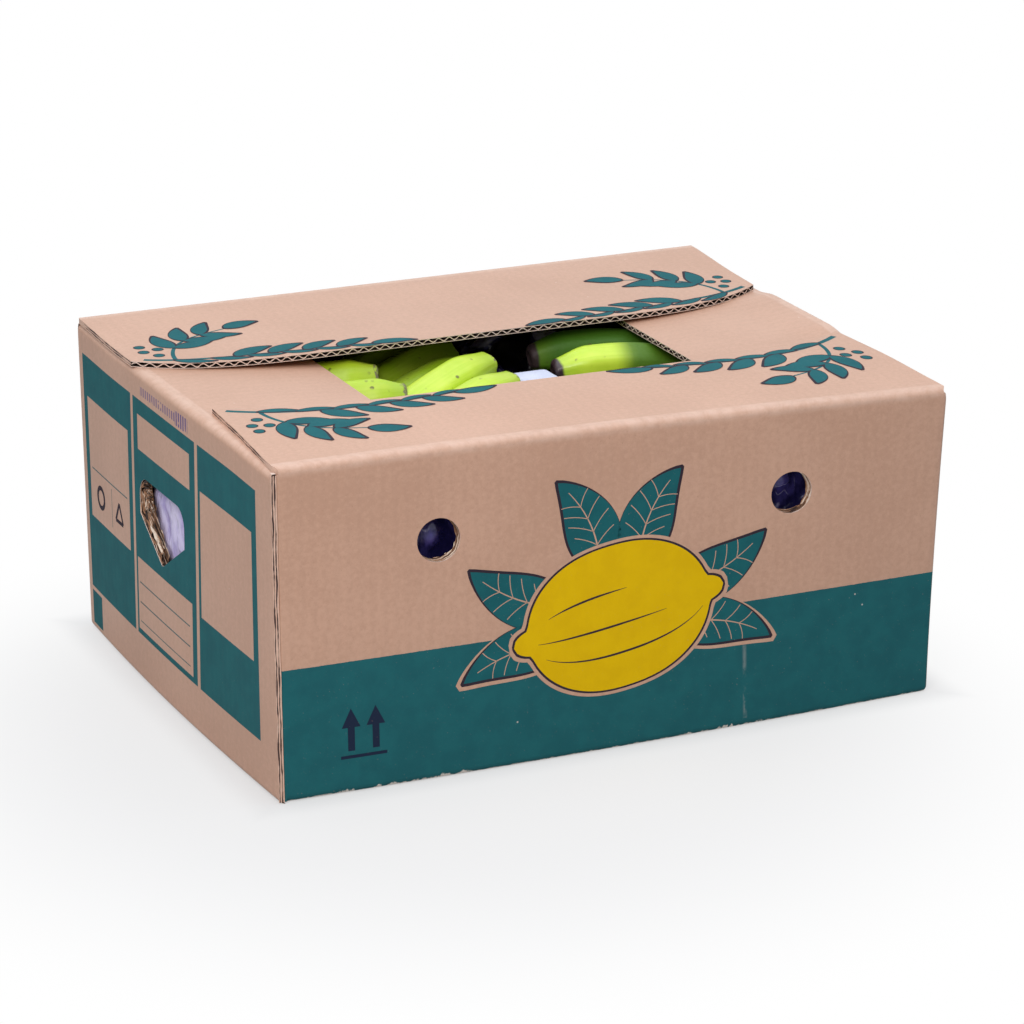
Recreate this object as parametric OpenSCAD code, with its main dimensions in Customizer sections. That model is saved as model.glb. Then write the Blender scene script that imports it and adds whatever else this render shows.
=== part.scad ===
// Fruit carton: a folded corrugated box with two opening top flaps, packed with bananas.
// The front faces -Y, +Z is up, and the origin is the middle of the bottom.

/* [Carton] */
// Outside length, left to right
carton_w = 480; // [430:1:560]
// Outside depth, front to back
carton_d = 364; // [330:1:420]
// Outside height
carton_h = 228; // [205:1:280]
// Thickness of the corrugated board
board_t = 4; // [3:0.1:5]
// Outside radius of a folded edge
fold_r = 3; // [1:0.1:4]
// Reach of the side flaps, and of the bottom flaps that fold in first
side_reach = 124; // [90:1:160]
// Gap between a side flap and the wall beside it
flap_slot = 3; // [1:0.5:6]
// Width of the glued tab inside the front left corner
glue_tab_w = 35; // [20:1:60]
// How far the glued tab's ends slope back
glue_tab_slope = 12; // [5:1:25]
// Gap between the two outer bottom flaps
bottom_seam = 1.5; // [0.5:0.1:4]

/* [Opening flaps] */
// Reach of the front flap at its middle
front_reach = 101; // [70:1:130]
// How much further the front flap reaches at its ends
front_bow = 27; // [10:1:40]
// Reach of the back flap at its middle
back_reach = 148; // [110:1:180]
// How far the back flap falls short at its ends
back_bow = 34; // [10:1:50]
// Distance from a flap's end to the carton's end
flap_inset = 5; // [3:0.5:12]
// Clear gap along a flap's fold
hinge_gap = 0.3; // [0.2:0.05:0.6]

/* [Board section] */
// Length of one flute
flute_pitch = 8; // [6:0.1:10]
// Thickness of each facing sheet
facing_t = 0.5; // [0.3:0.05:0.8]
// Thickness of the fluted sheet, measured straight up
fluting_t = 0.7; // [0.4:0.05:1]
// Width of the crushed board beside a fold
crush_w = 12; // [8:1:20]
// Depth of the open flutes in a side flap's edge
flute_depth = 20; // [10:1:40]

/* [Holes] */
// Diameter of the air holes
vent_d = 30; // [15:1:45]
// Distance between the two air holes of a wall
vent_span = 253; // [180:1:300]
// Distance from the carton's top down to an air hole's middle
vent_drop = 64; // [45:1:90]
// Width of a hand hole
grip_w = 86; // [70:1:110]
// Height of a hand hole
grip_h = 53; // [45:1:70]
// Height of a hand hole's straight sides, upper corner included
grip_side_h = 27; // [18:1:35]
// Radius of a hand hole's upper corners
grip_r = 14; // [6:1:17]
// Distance from the carton's top down to a hand hole
grip_drop = 77; // [55:1:95]
// Distance of the hand holes behind the middle of their walls
grip_shift = 14; // [0:1:30]

/* [Packing] */
// Thickness of the liner film with its folds
film_t = 1; // [0.5:0.1:2]
// Distance from the side flaps down to the liner's rim
liner_drop = 26; // [10:1:35]
// Gap between the liner and the side walls
liner_side_gap = 13; // [10:0.5:16]
// Gap between the liner and the front and back walls
liner_gap = 2.5; // [1:0.1:5]
// Corner radius of the liner
liner_r = 14; // [6:1:25]
// Thickness of the foam sheet that the pads are folded from
foam_t = 7; // [4:0.5:9]
// Width of the folded pad at the left wall
side_pad_w = 22; // [20:0.5:26]
// Distance from the upper left hand down to the pad at the left wall
side_pad_drop = 15; // [5:1:40]
// Length of the pad at the left wall
side_pad_l = 230; // [150:1:300]
// Width of the folded pad between the two sides
divider_w = 34; // [20:1:40]
// Distance from the carton's top down to the pad between the two sides
divider_drop = 24; // [22:1:45]
// Length of the pad between the two sides
divider_l = 112; // [80:1:150]
// Distance from the carton's middle to the right, for that pad's middle
divider_x = 28; // [10:1:36]
// Distance from the carton's middle to that pad's back end
divider_y = 13; // [0:1:30]

/* [Fruit] */
// Diameter of a banana
finger_d = 33; // [28:0.5:36]
// Diameter of a banana in the two upper hands
top_finger_d = 30; // [26:0.5:33]
// Angle that a banana bends through from end to end
finger_bend = 36; // [10:1:60]
// Gap between bananas and between a banana and the packing
fruit_gap = 1; // [0.5:0.1:2]
// Height of the crown that joins a hand
crown_h = 36; // [28:1:37]
// Depth of the crown
crown_d = 32; // [26:1:36]
// Distance from the carton's top down to the tips of the left bananas
fruit_head = 33; // [30:1:45]
// Climb of the left bananas, in degrees
left_climb = 20; // [12:1:24]
// Turn of the left bananas towards the back, in degrees
left_turn = 25; // [10:1:28]
// Distance from the liner's front to the first left banana
left_front_gap = 19; // [10:1:40]
// Climb of the right bananas, in degrees
right_climb = 12; // [6:1:16]
// Turn of the right bananas towards the back, in degrees
right_turn = 8; // [0:1:10]
// Climb of the upper left bananas, in degrees
left_top_climb = 10; // [6:1:12]
// Angle that an upper left banana bends through
left_top_bend = 16; // [8:1:30]
// Turn of the upper left bananas towards the front, in degrees
left_top_turn = 18; // [12:1:22]
// Distance of the upper left crown behind the carton's middle
left_top_y = 60; // [50:1:70]
// How far the upper left bananas show past the side flap
left_top_show = 41; // [20:1:55]
// Distance from the carton's top down to the upper left tips
left_top_head = 24; // [22:1:30]
// Distance between the two upper left bananas
left_top_pitch = 50; // [36:1:60]
// Climb of the upper right bananas, in degrees
right_top_climb = 16; // [10:1:17]
// Angle that an upper right banana bends through
right_top_bend = 50; // [30:1:60]
// Distance of the upper right crown behind the carton's middle
right_top_y = 30; // [15:1:40]
// How far the upper right bananas show past the side flap
right_top_show = 66; // [40:1:75]
// Distance from the carton's top down to the upper right tips
right_top_head = 28; // [25:1:32]
// Distance between neighbouring upper right bananas
right_top_pitch = 40; // [35:1:45]
// Length of the rearmost upper right banana, as a share of the others
right_top_last = 0.62; // [0.5:0.01:1]
// Gap between the upper right crown and the crown below it
right_top_gap = 0.2258; // [0.1:0.0001:1]

/* [Hidden] */
$fn = 64;
kraft = [0.80, 0.63, 0.53];
film_color = [0.36, 0.33, 0.52];
foam_color = [0.93, 0.93, 0.96];
green_skin = [0.62, 0.78, 0.20];

// Overlap that carries a cut cleanly past a face
cut = 1;
// Gap at which a loose piece lies against what holds it
seat = 0.3;

// Heights of the folds and floors
side_top = carton_h - board_t;
headroom_z = carton_h - 2 * board_t;
floor_z = 2 * board_t;
liner_floor_z = floor_z + film_t;
liner_h = headroom_z - liner_drop - floor_z;
divider_h = carton_h - divider_drop - liner_floor_z;

// Half sizes inside the walls and inside the liner
inner_x = carton_w / 2 - board_t;
inner_y = carton_d / 2 - board_t;
window_x = carton_w / 2 - side_reach;
liner_x = inner_x - liner_side_gap;
liner_y = inner_y - liner_gap;
packed_x = liner_x - film_t;
packed_y = liner_y - film_t;

// Opening flaps: length along the fold, and the power of the curve of the free edge
flap_w = carton_w - 2 * flap_inset;
edge_power = 5.5;
edge_steps = 28;
mitre = hinge_gap / sqrt(2);

// Hands of bananas: fingers to a hand, and the hand's crown
left_count = 3;
right_count = 4;
left_top_count = 2;
right_top_count = 3;
crown_r = crown_h / 2;
// Height of the crown's flat cut face, and its length past the outer fingers, as shares
crown_flat = 0.62;
crown_side = 0.7;
// Distance from the cut face to the fingers' roots
crown_seat = crown_r * sqrt(1 - crown_flat * crown_flat);
finger_sides = 6;
// Girth along a banana: share of the length, share of the diameter
girth = [[0, 0.42], [0.12, 0.44], [0.24, 0.86], [0.42, 1], [0.66, 1], [0.86, 0.93], [0.96, 0.74], [1, 0.56]];

// Planes of the crowns' cut faces, the fingers' roots and their tips, skewed by the turn
left_back_x = -packed_x + side_pad_w + 2 * seat;
right_back_x = packed_x - seat;
left_root_x = left_back_x + crown_seat;
right_root_x = right_back_x - crown_seat;
tip_r = finger_d / 2 * girth[len(girth) - 1][1];
left_tip_x = divider_x - divider_w / 2 - fruit_gap - tip_r * sin(left_turn);
right_tip_x = divider_x + divider_w / 2 + fruit_gap + tip_r * sin(right_turn);

// Straight reach of a finger that bends through an angle, as a share of its length
function bend_share(bend) = sin(bend / 2) / (bend / 2 * PI / 180);

// Lengths and spacing of the fingers
span_share = bend_share(finger_bend);
left_len = (left_tip_x - left_root_x) / (cos(left_turn) * cos(left_climb) * span_share);
right_len = (right_root_x - right_tip_x) / (cos(right_turn) * cos(right_climb) * span_share);
left_pitch = (finger_d + fruit_gap) / cos(left_turn);
right_pitch = (finger_d + fruit_gap) / cos(right_turn);
left_first_y = -packed_y + left_front_gap + finger_d / 2;
right_first_y = -packed_y + liner_r - film_t + crown_side * finger_d / 2;

// Heights of the left crowns: the lowest on the liner, the highest set by the tips
low_root_z = liner_floor_z + seat + crown_r;
left_high_z = carton_h - fruit_head - left_len * sin(left_climb) * span_share;
left_step = (left_high_z - low_root_z) / 2;

// The two upper hands: their tips show in the window
left_top_root_x = -packed_x + seat + crown_seat;
left_top_reach = -window_x + left_top_show - left_top_root_x;
left_top_span = left_top_reach / (cos(left_top_turn) * cos(left_top_climb));
left_top_len = left_top_span / bend_share(left_top_bend);
left_top_root_z = carton_h - left_top_head - left_top_span * sin(left_top_climb);
right_top_reach = right_root_x - window_x + right_top_show;
right_top_span = right_top_reach / (cos(right_turn) * cos(right_top_climb));
right_top_len = right_top_span / bend_share(right_top_bend);
right_top_root_z = carton_h - right_top_head - right_top_span * sin(right_top_climb);

// Heights of the right crowns: the lowest on the liner, the highest under the upper right crown
right_high_z = right_top_root_z - crown_h - right_top_gap;
right_step = (right_high_z - low_root_z) / 2;

// Height of the pad at the left wall
side_pad_h = left_top_root_z - crown_r - side_pad_drop - liner_floor_z;

ROWS = ["front", "back"];
LAYERS = ["low", "middle", "high"];
function hand_name(side, row, layer) = str("hand_", side, "_", ROWS[row], "_", LAYERS[layer]);

// Carton

// A rectangle with its middle at the origin and round corners
module round_plate(w, d, r) {
    square([w - 2 * r, d], center = true);
    square([w, d - 2 * r], center = true);
    for (x = [-1, 1], y = [-1, 1]) translate([x * (w / 2 - r), y * (d / 2 - r)]) circle(r = r);
}

// Plan of the four walls: three folded corners and the raw corner of the glued joint
module wall_plan() {
    round_plate(carton_w, carton_d, fold_r);
    translate([-carton_w / 2, -carton_d / 2]) square(2 * fold_r);
}

// Front view: the side walls fold over into the side flaps
module front_view() {
    round_plate(carton_w, 2 * side_top, fold_r);
}

// Side view: the front and back walls fold under into the bottom flaps
module side_view() {
    translate([0, carton_h]) round_plate(carton_d, 2 * carton_h, fold_r);
}

// Solid block with every folded edge rounded, up to the side flaps
module folded_block() {
    intersection() {
        linear_extrude(height = side_top) wall_plan();
        rotate([90, 0, 0]) linear_extrude(height = carton_d + 2 * cut, center = true) front_view();
        rotate([90, 0, 90]) linear_extrude(height = carton_w + 2 * cut, center = true) side_view();
    }
}

// Space inside: between the walls, between the inner bottom flaps and between the side flaps
module inside() {
    translate([-inner_x, -inner_y, floor_z]) cube([2 * inner_x, 2 * inner_y, headroom_z - floor_z]);
    translate([-window_x, -inner_y, board_t]) cube([2 * window_x, 2 * inner_y, carton_h]);
    for (y = [-inner_y, inner_y - flap_slot])
        translate([-inner_x, y, floor_z]) cube([2 * inner_x, flap_slot, carton_h]);
}

// Sharp corner left over outside a round fold, in a section with the fold at the origin
module fold_corner() {
    difference() {
        translate([-cut, -fold_r]) square([fold_r + cut, fold_r + cut]);
        translate([fold_r, -fold_r]) circle(r = fold_r);
    }
}

// Section of a wall's top, cut back at 45 degrees under the flap
module wall_top_section() {
    difference() {
        polygon([[0, -board_t], [board_t - mitre, -board_t], [0, -mitre]]);
        fold_corner();
    }
}

// Open flutes in the edges of the two side flaps
module side_flap_cells() {
    for (turn = [0, 180]) rotate([0, 0, turn]) translate([window_x - cut, 0, carton_h - 1.5 * board_t])
        rotate([90, 0, 90]) linear_extrude(height = flute_depth + cut)
            flute_cells(2 * (inner_y - flap_slot));
}

// Tab of the front wall, glued inside the left wall
module glue_tab() {
    tab_z0 = floor_z;
    tab_z1 = headroom_z;
    translate([-inner_x, -inner_y, 0]) rotate([90, 0, 90]) linear_extrude(height = board_t) polygon([
        [0, tab_z0], [glue_tab_w, tab_z0 + glue_tab_slope],
        [glue_tab_w, tab_z1 - glue_tab_slope], [0, tab_z1]
    ]);
}

// Hand hole: flat top with round corners, straight sides and a point below
module grip_outline() {
    half = grip_w / 2;
    for (x = [-1, 1]) translate([x * (half - grip_r), -grip_r]) circle(r = grip_r);
    translate([-half + grip_r, -grip_r]) square([grip_w - 2 * grip_r, grip_r]);
    polygon([[-half, -grip_r], [half, -grip_r], [half, -grip_side_h], [0, -grip_h], [-half, -grip_side_h]]);
}

module carton() {
    color(kraft) difference() {
        union() {
            difference() {
                folded_block();
                inside();
            }
            glue_tab();
            for (turn = [0, 180]) rotate([0, 0, turn]) translate([-flap_w / 2, -carton_d / 2, carton_h])
                rotate([90, 0, 90]) linear_extrude(height = flap_w) wall_top_section();
        }
        // Air holes through the front and back walls
        for (x = [-1, 1]) translate([x * vent_span / 2, 0, carton_h - vent_drop])
            rotate([90, 0, 0]) cylinder(d = vent_d, h = carton_d + 2 * cut, center = true);
        // Hand holes through the side walls
        translate([0, grip_shift, carton_h - grip_drop]) rotate([90, 0, 90])
            linear_extrude(height = carton_w + 2 * cut, center = true) grip_outline();
        // Seam between the outer bottom flaps
        translate([-carton_w / 2 - cut, -bottom_seam / 2, -cut])
            cube([carton_w + 2 * cut, bottom_seam, board_t + cut]);
        // Open flute along the left wall's raw edge
        translate([-carton_w / 2 + facing_t, -carton_d / 2 - cut, -cut])
            cube([board_t - 2 * facing_t, cut + board_t / 2, side_top - fold_r]);
        side_flap_cells();
    }
}

// Opening flaps

// Hollow cells on both sides of the fluted sheet, over a board of the given width
module flute_cells(width) {
    core = board_t - 2 * facing_t;
    gap = fluting_t / 2;
    half = (core - gap) * flute_pitch / (2 * core);
    count = floor(width / flute_pitch) - 1;
    for (i = [0 : count - 1]) translate([(i - (count - 1) / 2) * flute_pitch, 0]) {
        polygon([[-half, core / 2], [half, core / 2], [0, gap - core / 2]]);
        if (i < count - 1) translate([flute_pitch / 2, 0])
            polygon([[-half, -core / 2], [half, -core / 2], [0, core / 2 - gap]]);
    }
}

// Plan of a flap from its fold at y = 0: the free edge bends by bow towards its ends
module flap_plan(reach, bow) {
    polygon(concat(
        [[-flap_w / 2, 0]],
        [for (i = [0 : edge_steps]) let (x = flap_w * (i / edge_steps - 0.5))
            [x, reach + bow * pow(abs(2 * x / flap_w), edge_power)]],
        [[flap_w / 2, 0]]
    ));
}

// Section of a flap, with its fold cut at 45 degrees over the wall
module flap_section(reach) {
    difference() {
        polygon([[mitre, 0], [reach, 0], [reach, -board_t], [board_t + mitre, -board_t]]);
        fold_corner();
    }
}

// A flap with its fold along the x axis and its outer face at z = 0
module flap(reach, bow) {
    full = reach + max(bow, 0) + cut;
    difference() {
        intersection() {
            rotate([90, 0, 90]) linear_extrude(height = flap_w + 2 * cut, center = true)
                flap_section(full);
            translate([0, 0, -board_t - cut]) linear_extrude(height = board_t + 2 * cut)
                flap_plan(reach, bow);
        }
        translate([0, full, -board_t / 2]) rotate([90, 0, 0])
            linear_extrude(height = full - board_t - crush_w) flute_cells(flap_w);
    }
}

module front_flap() {
    color(kraft) translate([0, -carton_d / 2, carton_h]) flap(front_reach, front_bow);
}

module back_flap() {
    color(kraft) translate([0, carton_d / 2, carton_h]) rotate([0, 0, 180]) flap(back_reach, -back_bow);
}

// Packing

module liner_bag() {
    color(film_color) translate([0, 0, floor_z]) difference() {
        linear_extrude(height = liner_h) round_plate(2 * liner_x, 2 * liner_y, liner_r);
        translate([0, 0, film_t]) linear_extrude(height = liner_h)
            round_plate(2 * packed_x, 2 * packed_y, liner_r - film_t);
    }
}

// Upright outline with its two upper corners rounded
module arch(w, h, r) {
    translate([-w / 2, 0]) square([w, h - r]);
    translate([-w / 2 + r, 0]) square([w - 2 * r, h]);
    for (x = [-1, 1]) translate([x * (w / 2 - r), h - r]) circle(r = r);
}

// A foam sheet folded double, standing at z = 0, with its length along y
module folded_pad(w, h, l) {
    slit = w - 2 * foam_t;
    bend_r = slit / 4;
    color(foam_color) rotate([90, 0, 0]) linear_extrude(height = l, center = true) difference() {
        arch(w, h, bend_r + foam_t);
        translate([0, -cut]) arch(slit, h - foam_t + cut, bend_r);
    }
}

module side_pad() {
    translate([-packed_x + seat + side_pad_w / 2, 0, liner_floor_z])
        folded_pad(side_pad_w, side_pad_h, side_pad_l);
}

module divider_pad() {
    translate([divider_x, divider_y - divider_l / 2, liner_floor_z])
        folded_pad(divider_w, divider_h, divider_l);
}

// Fruit

// Direction at a turn about the vertical and a climb above the level
function aim(turn, climb) = [cos(climb) * cos(turn), cos(climb) * sin(turn), sin(climb)];

// Climb at a share s of a finger's length: steep at the root, level at the tip
function climb_at(s, climb, bend) = climb + bend * (0.5 - s);

// Middle of the finger at station i of the girth list
function spine(i, span, turn, climb, bend) = i == 0 ? [0, 0, 0] :
    let (s0 = girth[i - 1][0], s1 = girth[i][0], way = aim(turn, climb_at((s0 + s1) / 2, climb, bend)))
    spine(i - 1, span, turn, climb, bend) + span * (s1 - s0) * way;

// Corners of the finger's section at station i
function section_at(i, span, d, turn, climb, bend) =
    let (
        middle = spine(i, span, turn, climb, bend),
        across = [-sin(turn), cos(turn), 0],
        up = aim(turn, climb_at(girth[i][0], climb, bend) + 90),
        r = d / 2 * girth[i][1]
    )
    [for (k = [0 : finger_sides - 1]) let (a = 360 * k / finger_sides)
        middle + r * (cos(a) * across + sin(a) * up)];

// Skin over a row of sections
module loft(sections) {
    n = len(sections[0]);
    last = len(sections) - 1;
    polyhedron(
        points = [for (s = sections) each s],
        faces = concat(
            [[for (k = [0 : n - 1]) k]],
            [for (i = [0 : last - 1], k = [0 : n - 1]) let (a = i * n + k, b = i * n + (k + 1) % n)
                each [[a, a + n, b + n], [a, b + n, b]]],
            [[for (k = [n - 1 : -1 : 0]) last * n + k]]
        )
    );
}

module finger(span, d, turn, climb, bend) {
    loft([for (i = [0 : len(girth) - 1]) section_at(i, span, d, turn, climb, bend)]);
}

// Round lobe of the crown with its flat cut face at x = 0
module crown_section() {
    intersection() {
        translate([crown_seat, 0]) circle(r = crown_r);
        translate([0, -crown_r]) square([crown_d, crown_h]);
    }
}

// A hand: fingers side by side from one crown, the crown's cut face in the plane x = 0.
// The last finger's length is a share of the others'.
module hand(count, pitch, span, d, turn, climb, bend, last = 1) {
    color(green_skin) union() {
        rotate([90, 0, 0]) linear_extrude(height = (count - 1) * pitch + crown_side * d, center = true)
            crown_section();
        for (j = [0 : count - 1]) translate([crown_seat, (j - (count - 1) / 2) * pitch, 0])
            finger(span * (j < count - 1 ? 1 : last), d, turn, climb, bend);
    }
}

module left_hand(row, layer) {
    y = left_first_y + ((left_count - 1) / 2 + row * left_count) * left_pitch;
    translate([left_back_x, y, low_root_z + layer * left_step])
        hand(left_count, left_pitch, left_len, finger_d, left_turn, left_climb, finger_bend);
}

module right_hand(row, layer) {
    y = right_first_y + ((right_count - 1) / 2 + row * right_count) * right_pitch;
    translate([right_back_x, y, low_root_z + layer * right_step]) mirror([1, 0, 0])
        hand(right_count, right_pitch, right_len, finger_d, right_turn, right_climb, finger_bend);
}

module hand_left_top() {
    translate([-packed_x + seat, left_top_y, left_top_root_z])
        hand(left_top_count, left_top_pitch, left_top_len, top_finger_d, -left_top_turn, left_top_climb,
            left_top_bend);
}

module hand_right_top() {
    translate([right_back_x, right_top_y, right_top_root_z]) mirror([1, 0, 0])
        hand(right_top_count, right_top_pitch, right_top_len, top_finger_d, right_turn, right_top_climb,
            right_top_bend, right_top_last);
}

carton();
front_flap();
back_flap();
liner_bag();
side_pad();
divider_pad();
for (row = [0 : 1], layer = [0 : 2]) {
    left_hand(row, layer);
    right_hand(row, layer);
}
hand_left_top();
hand_right_top();
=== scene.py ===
"""Looks of the fruit carton: printed corrugated board with open flutes, green bananas, liner film and foam.

Lengths are in millimetres until a mesh is made. The carton's front faces -Y, and z is the height above the
floor.
"""

import math
from collections import namedtuple

import bpy
import numpy as np
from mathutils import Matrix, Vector


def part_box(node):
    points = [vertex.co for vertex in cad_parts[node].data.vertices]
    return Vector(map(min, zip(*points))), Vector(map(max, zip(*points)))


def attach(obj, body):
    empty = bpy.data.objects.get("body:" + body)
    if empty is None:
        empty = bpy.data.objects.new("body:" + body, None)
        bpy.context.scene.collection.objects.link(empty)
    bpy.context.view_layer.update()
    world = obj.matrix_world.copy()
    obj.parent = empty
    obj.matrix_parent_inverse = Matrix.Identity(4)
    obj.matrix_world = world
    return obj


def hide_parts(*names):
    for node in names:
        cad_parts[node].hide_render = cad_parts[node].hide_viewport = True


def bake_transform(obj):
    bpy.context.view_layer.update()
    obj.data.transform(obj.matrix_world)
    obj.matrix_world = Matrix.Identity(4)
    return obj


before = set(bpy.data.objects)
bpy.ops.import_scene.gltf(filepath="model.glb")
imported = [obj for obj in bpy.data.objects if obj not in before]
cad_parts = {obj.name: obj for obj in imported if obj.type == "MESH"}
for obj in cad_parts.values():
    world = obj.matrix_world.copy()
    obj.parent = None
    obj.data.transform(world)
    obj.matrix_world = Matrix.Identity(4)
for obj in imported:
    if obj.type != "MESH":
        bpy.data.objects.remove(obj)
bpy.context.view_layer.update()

MM = 0.001
low, high = (np.array(corner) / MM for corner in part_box("carton"))
W, D = high[0] - low[0], high[1] - low[1]
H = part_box("front_flap")[1].z / MM

# Board: thickness, facing sheet, flute length, half the wave sheet's thickness, and the folds' outer radii
BOARD = 4.0
LINER = 0.45
FLUTE = 8.0
WAVE_HALF = 0.42
FOLD = 5.0
CORNER = 3.2
SOLE = 4.5
# Radius of the front wall's bend at the glued joint
JOINT = 1.5
# Height where the walls pass into the folded top strips, and where the corners end
STRIP_Z = 206.0
POST_Z = 224.0
SIDE_TOP = H - BOARD
# Section of a cut edge from the outer facing to the inner one: depths, and where the core lies back
RIM_DEPTH = np.array([0, LINER, LINER, LINER, BOARD - LINER, BOARD - LINER, BOARD - LINER, BOARD])
RIM_BACK = np.array([0, 0, 0, 1, 1, 0, 0, 0.0])
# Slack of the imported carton: how far the front right corner leans and the back left one rises, how far the
# walls swell, how far the front wall spreads at its foot, and how far the top edges sink and rise
LEAN_X, LEAN_Y, LEAN_Z = 6.0, -8.0, -6.5
RISE_X, RISE_Z = -3.0, 1.0
LONG_SWELL, RIGHT_SWELL = 2.5, 3.0
LEFT_SWELL, LEFT_LOSS = 4.5, 3.0
FOOT_END, FOOT_MIDDLE = 4.0, 5.0
FRONT_SINK, BACK_RISE = 2.5, 2.0


# Shared forms


def ease(x, a=0.0, b=1.0):
    """Smooth step from 0 at a to 1 at b: three t squared less two t cubed."""
    t = np.clip((x - a) / (b - a), 0, 1)
    return t * t * (3 - 2 * t)


def noise_field(rows, cols, cells, seed):
    """Smooth random values from -1 to 1 on a grid: a coarse table of random numbers read with eased
    steps between its entries, closed along the rows."""
    r, c = cells
    table = np.random.default_rng(seed).uniform(-1, 1, (r, c))
    x, y = np.arange(rows) * r / rows, np.linspace(0, c - 1.001, cols)
    i, j = x.astype(int), y.astype(int)
    fx, fy = ease(x - i)[:, None], ease(y - j)[None]
    near = table[np.ix_(i, j)] * (1 - fy) + table[np.ix_(i, j + 1)] * fy
    i = (i + 1) % r
    far = table[np.ix_(i, j)] * (1 - fy) + table[np.ix_(i, j + 1)] * fy
    return near * (1 - fx) + far * fx


def warp(p):
    """Slack of a packed carton, added to every board point: each wall swells as a parabola across its
    width, the front wall spreads at its foot, the front edge sinks and the back edge rises, and the front
    right corner leans out and down with the square of the distance from the far walls."""
    x, y, z = p[..., 0], p[..., 1], p[..., 2]
    u, v, t = x / (W / 2), y / (D / 2), np.clip(z / H, 0, 1.1)
    front, back = ease(-v, 0.55, 1), ease(v, 0.55, 1)
    left, right = ease(-u, 0.6, 1), ease(u, 0.6, 1)
    on_long, on_short, belly = 1 - u * u, 1 - v * v, 4 * t * (1 - t)
    lean = ((1 + u) / 2) ** 2 * ((1 - v) / 2) ** 2 * t**1.2
    rise = ((1 - u) / 2) ** 2 * ((1 + v) / 2) ** 2 * t
    swell = LONG_SWELL * on_long * belly
    foot = (FOOT_END + FOOT_MIDDLE * on_long) * (1 - t) ** 2
    q = np.array(p, float)
    q[..., 0] += LEAN_X * lean + RISE_X * rise
    q[..., 0] += on_short * (RIGHT_SWELL * right * belly - left * (LEFT_SWELL - LEFT_LOSS * t))
    q[..., 1] += LEAN_Y * lean - front * (swell + foot) + back * swell
    q[..., 2] += LEAN_Z * lean + (BACK_RISE * back - FRONT_SINK * front) * t**3 + RISE_Z * rise
    return q


def follow(starts, origins, radius, s):
    """A walk round a rounded rectangle, seen from above: straight legs and quarter circles by turns. Returns
    the place at a distance s along it, and the direction outwards there."""
    k = leg_at(starts, s)
    t = s - starts[k]
    arc = k % 2 == 1
    heading = (k // 2) * math.pi / 2 + np.where(arc, t / radius, 0)
    out = np.stack([np.sin(heading), -np.cos(heading)], -1)
    ahead = np.stack([np.cos(heading), np.sin(heading)], -1)
    return origins[k] + np.where(arc[..., None], radius * out, t[..., None] * ahead), out


def leg_at(starts, s):
    """Number of the leg at a distance s, from the distances where the legs start and the last one ends."""
    return np.clip(np.searchsorted(starts, s, side="right") - 1, 0, len(starts) - 2)


class Build:
    """Collects grids of points into one mesh, with named values for each point."""

    def __init__(self):
        self.points = []
        self.faces = []
        self.mats = []
        self.values = []
        self.count = 0

    def add(self, points, faces, mat=0, **values):
        """Points with their values, and four-sided faces that number these points from 0."""
        points = np.asarray(points, float).reshape(-1, 3)
        self.points.append(points)
        self.faces.append(np.asarray(faces) + self.count)
        self.mats.append(np.full(len(faces), mat))
        self.values.append({k: np.asarray(v, float).reshape(len(points), -1) for k, v in values.items()})
        self.count += len(points)

    def grid(self, points, mat=0, flip=False, closed=False, **values):
        """A sheet of four-sided faces over a grid of points, closed along its columns if asked."""
        rows, cols = points.shape[:2]
        index = np.arange(rows * cols).reshape(rows, cols)
        if closed:
            index = np.concatenate([index, index[:, :1]], 1)
        quads = np.stack([index[:-1, :-1], index[:-1, 1:], index[1:, 1:], index[1:, :-1]], -1).reshape(-1, 4)
        full = {k: np.broadcast_to(np.asarray(v, float), (rows, cols) if np.ndim(v) < 3 else points.shape)
                for k, v in values.items()}
        self.add(points, quads[:, ::-1] if flip else quads, mat, **full)

    def board(self, rest, mat=0, flip=False, closed=False, flute=0.0, sheet=None):
        """A sheet of board over a grid of rest points, which the warp moves."""
        sheet = np.zeros(rest.shape) if sheet is None else sheet
        self.grid(warp(rest), mat, flip, closed, rest=rest, flute=flute, sheet=sheet)

    def rim(self, rest, flip=False, closed=False, flute=0.0):
        """A cut edge over rows of points at the rim depths: pale facings and a core painted dark as shade
        between them.
        """
        flute = np.broadcast_to(flute, rest.shape[:2])
        for rows, mat in ((slice(0, 2), RAW), (slice(2, 6), CORE), (slice(6, 8), RAW)):
            self.board(rest[rows], mat, flip, closed, flute[rows])

    def make(self, name, materials):
        """The smooth mesh object, at the origin, with a material for each index."""
        mesh = bpy.data.meshes.new(name)
        points, faces = np.concatenate(self.points) * MM, np.concatenate(self.faces)
        mesh.vertices.add(len(points))
        mesh.vertices.foreach_set("co", points.astype(np.float32).ravel())
        mesh.loops.add(faces.size)
        mesh.loops.foreach_set("vertex_index", faces.astype(np.int32).ravel())
        mesh.polygons.add(len(faces))
        mesh.polygons.foreach_set("loop_start", np.arange(0, faces.size, 4, dtype=np.int32))
        mesh.polygons.foreach_set("material_index", np.concatenate(self.mats).astype(np.int32))
        mesh.update(calc_edges=True)
        mesh.polygons.foreach_set("use_smooth", np.full(len(faces), True))
        for key in self.values[0]:
            data = np.concatenate([v[key] for v in self.values]).astype(np.float32)
            kind, field = ("FLOAT_VECTOR", "vector") if data.shape[1] == 3 else ("FLOAT", "value")
            mesh.attributes.new(key, kind, "POINT").data.foreach_set(field, data.ravel())
        for m in materials:
            mesh.materials.append(m)
        obj = bpy.data.objects.new(name, mesh)
        bpy.context.scene.collection.objects.link(obj)
        return obj


# Materials


def rgb(r, g, b):
    """Linear colour of an sRGB colour given in bytes."""
    c = np.array([r, g, b]) / 255
    return (*np.where(c <= 0.04045, c / 12.92, ((c + 0.055) / 1.055) ** 2.4).tolist(), 1.0)


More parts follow.
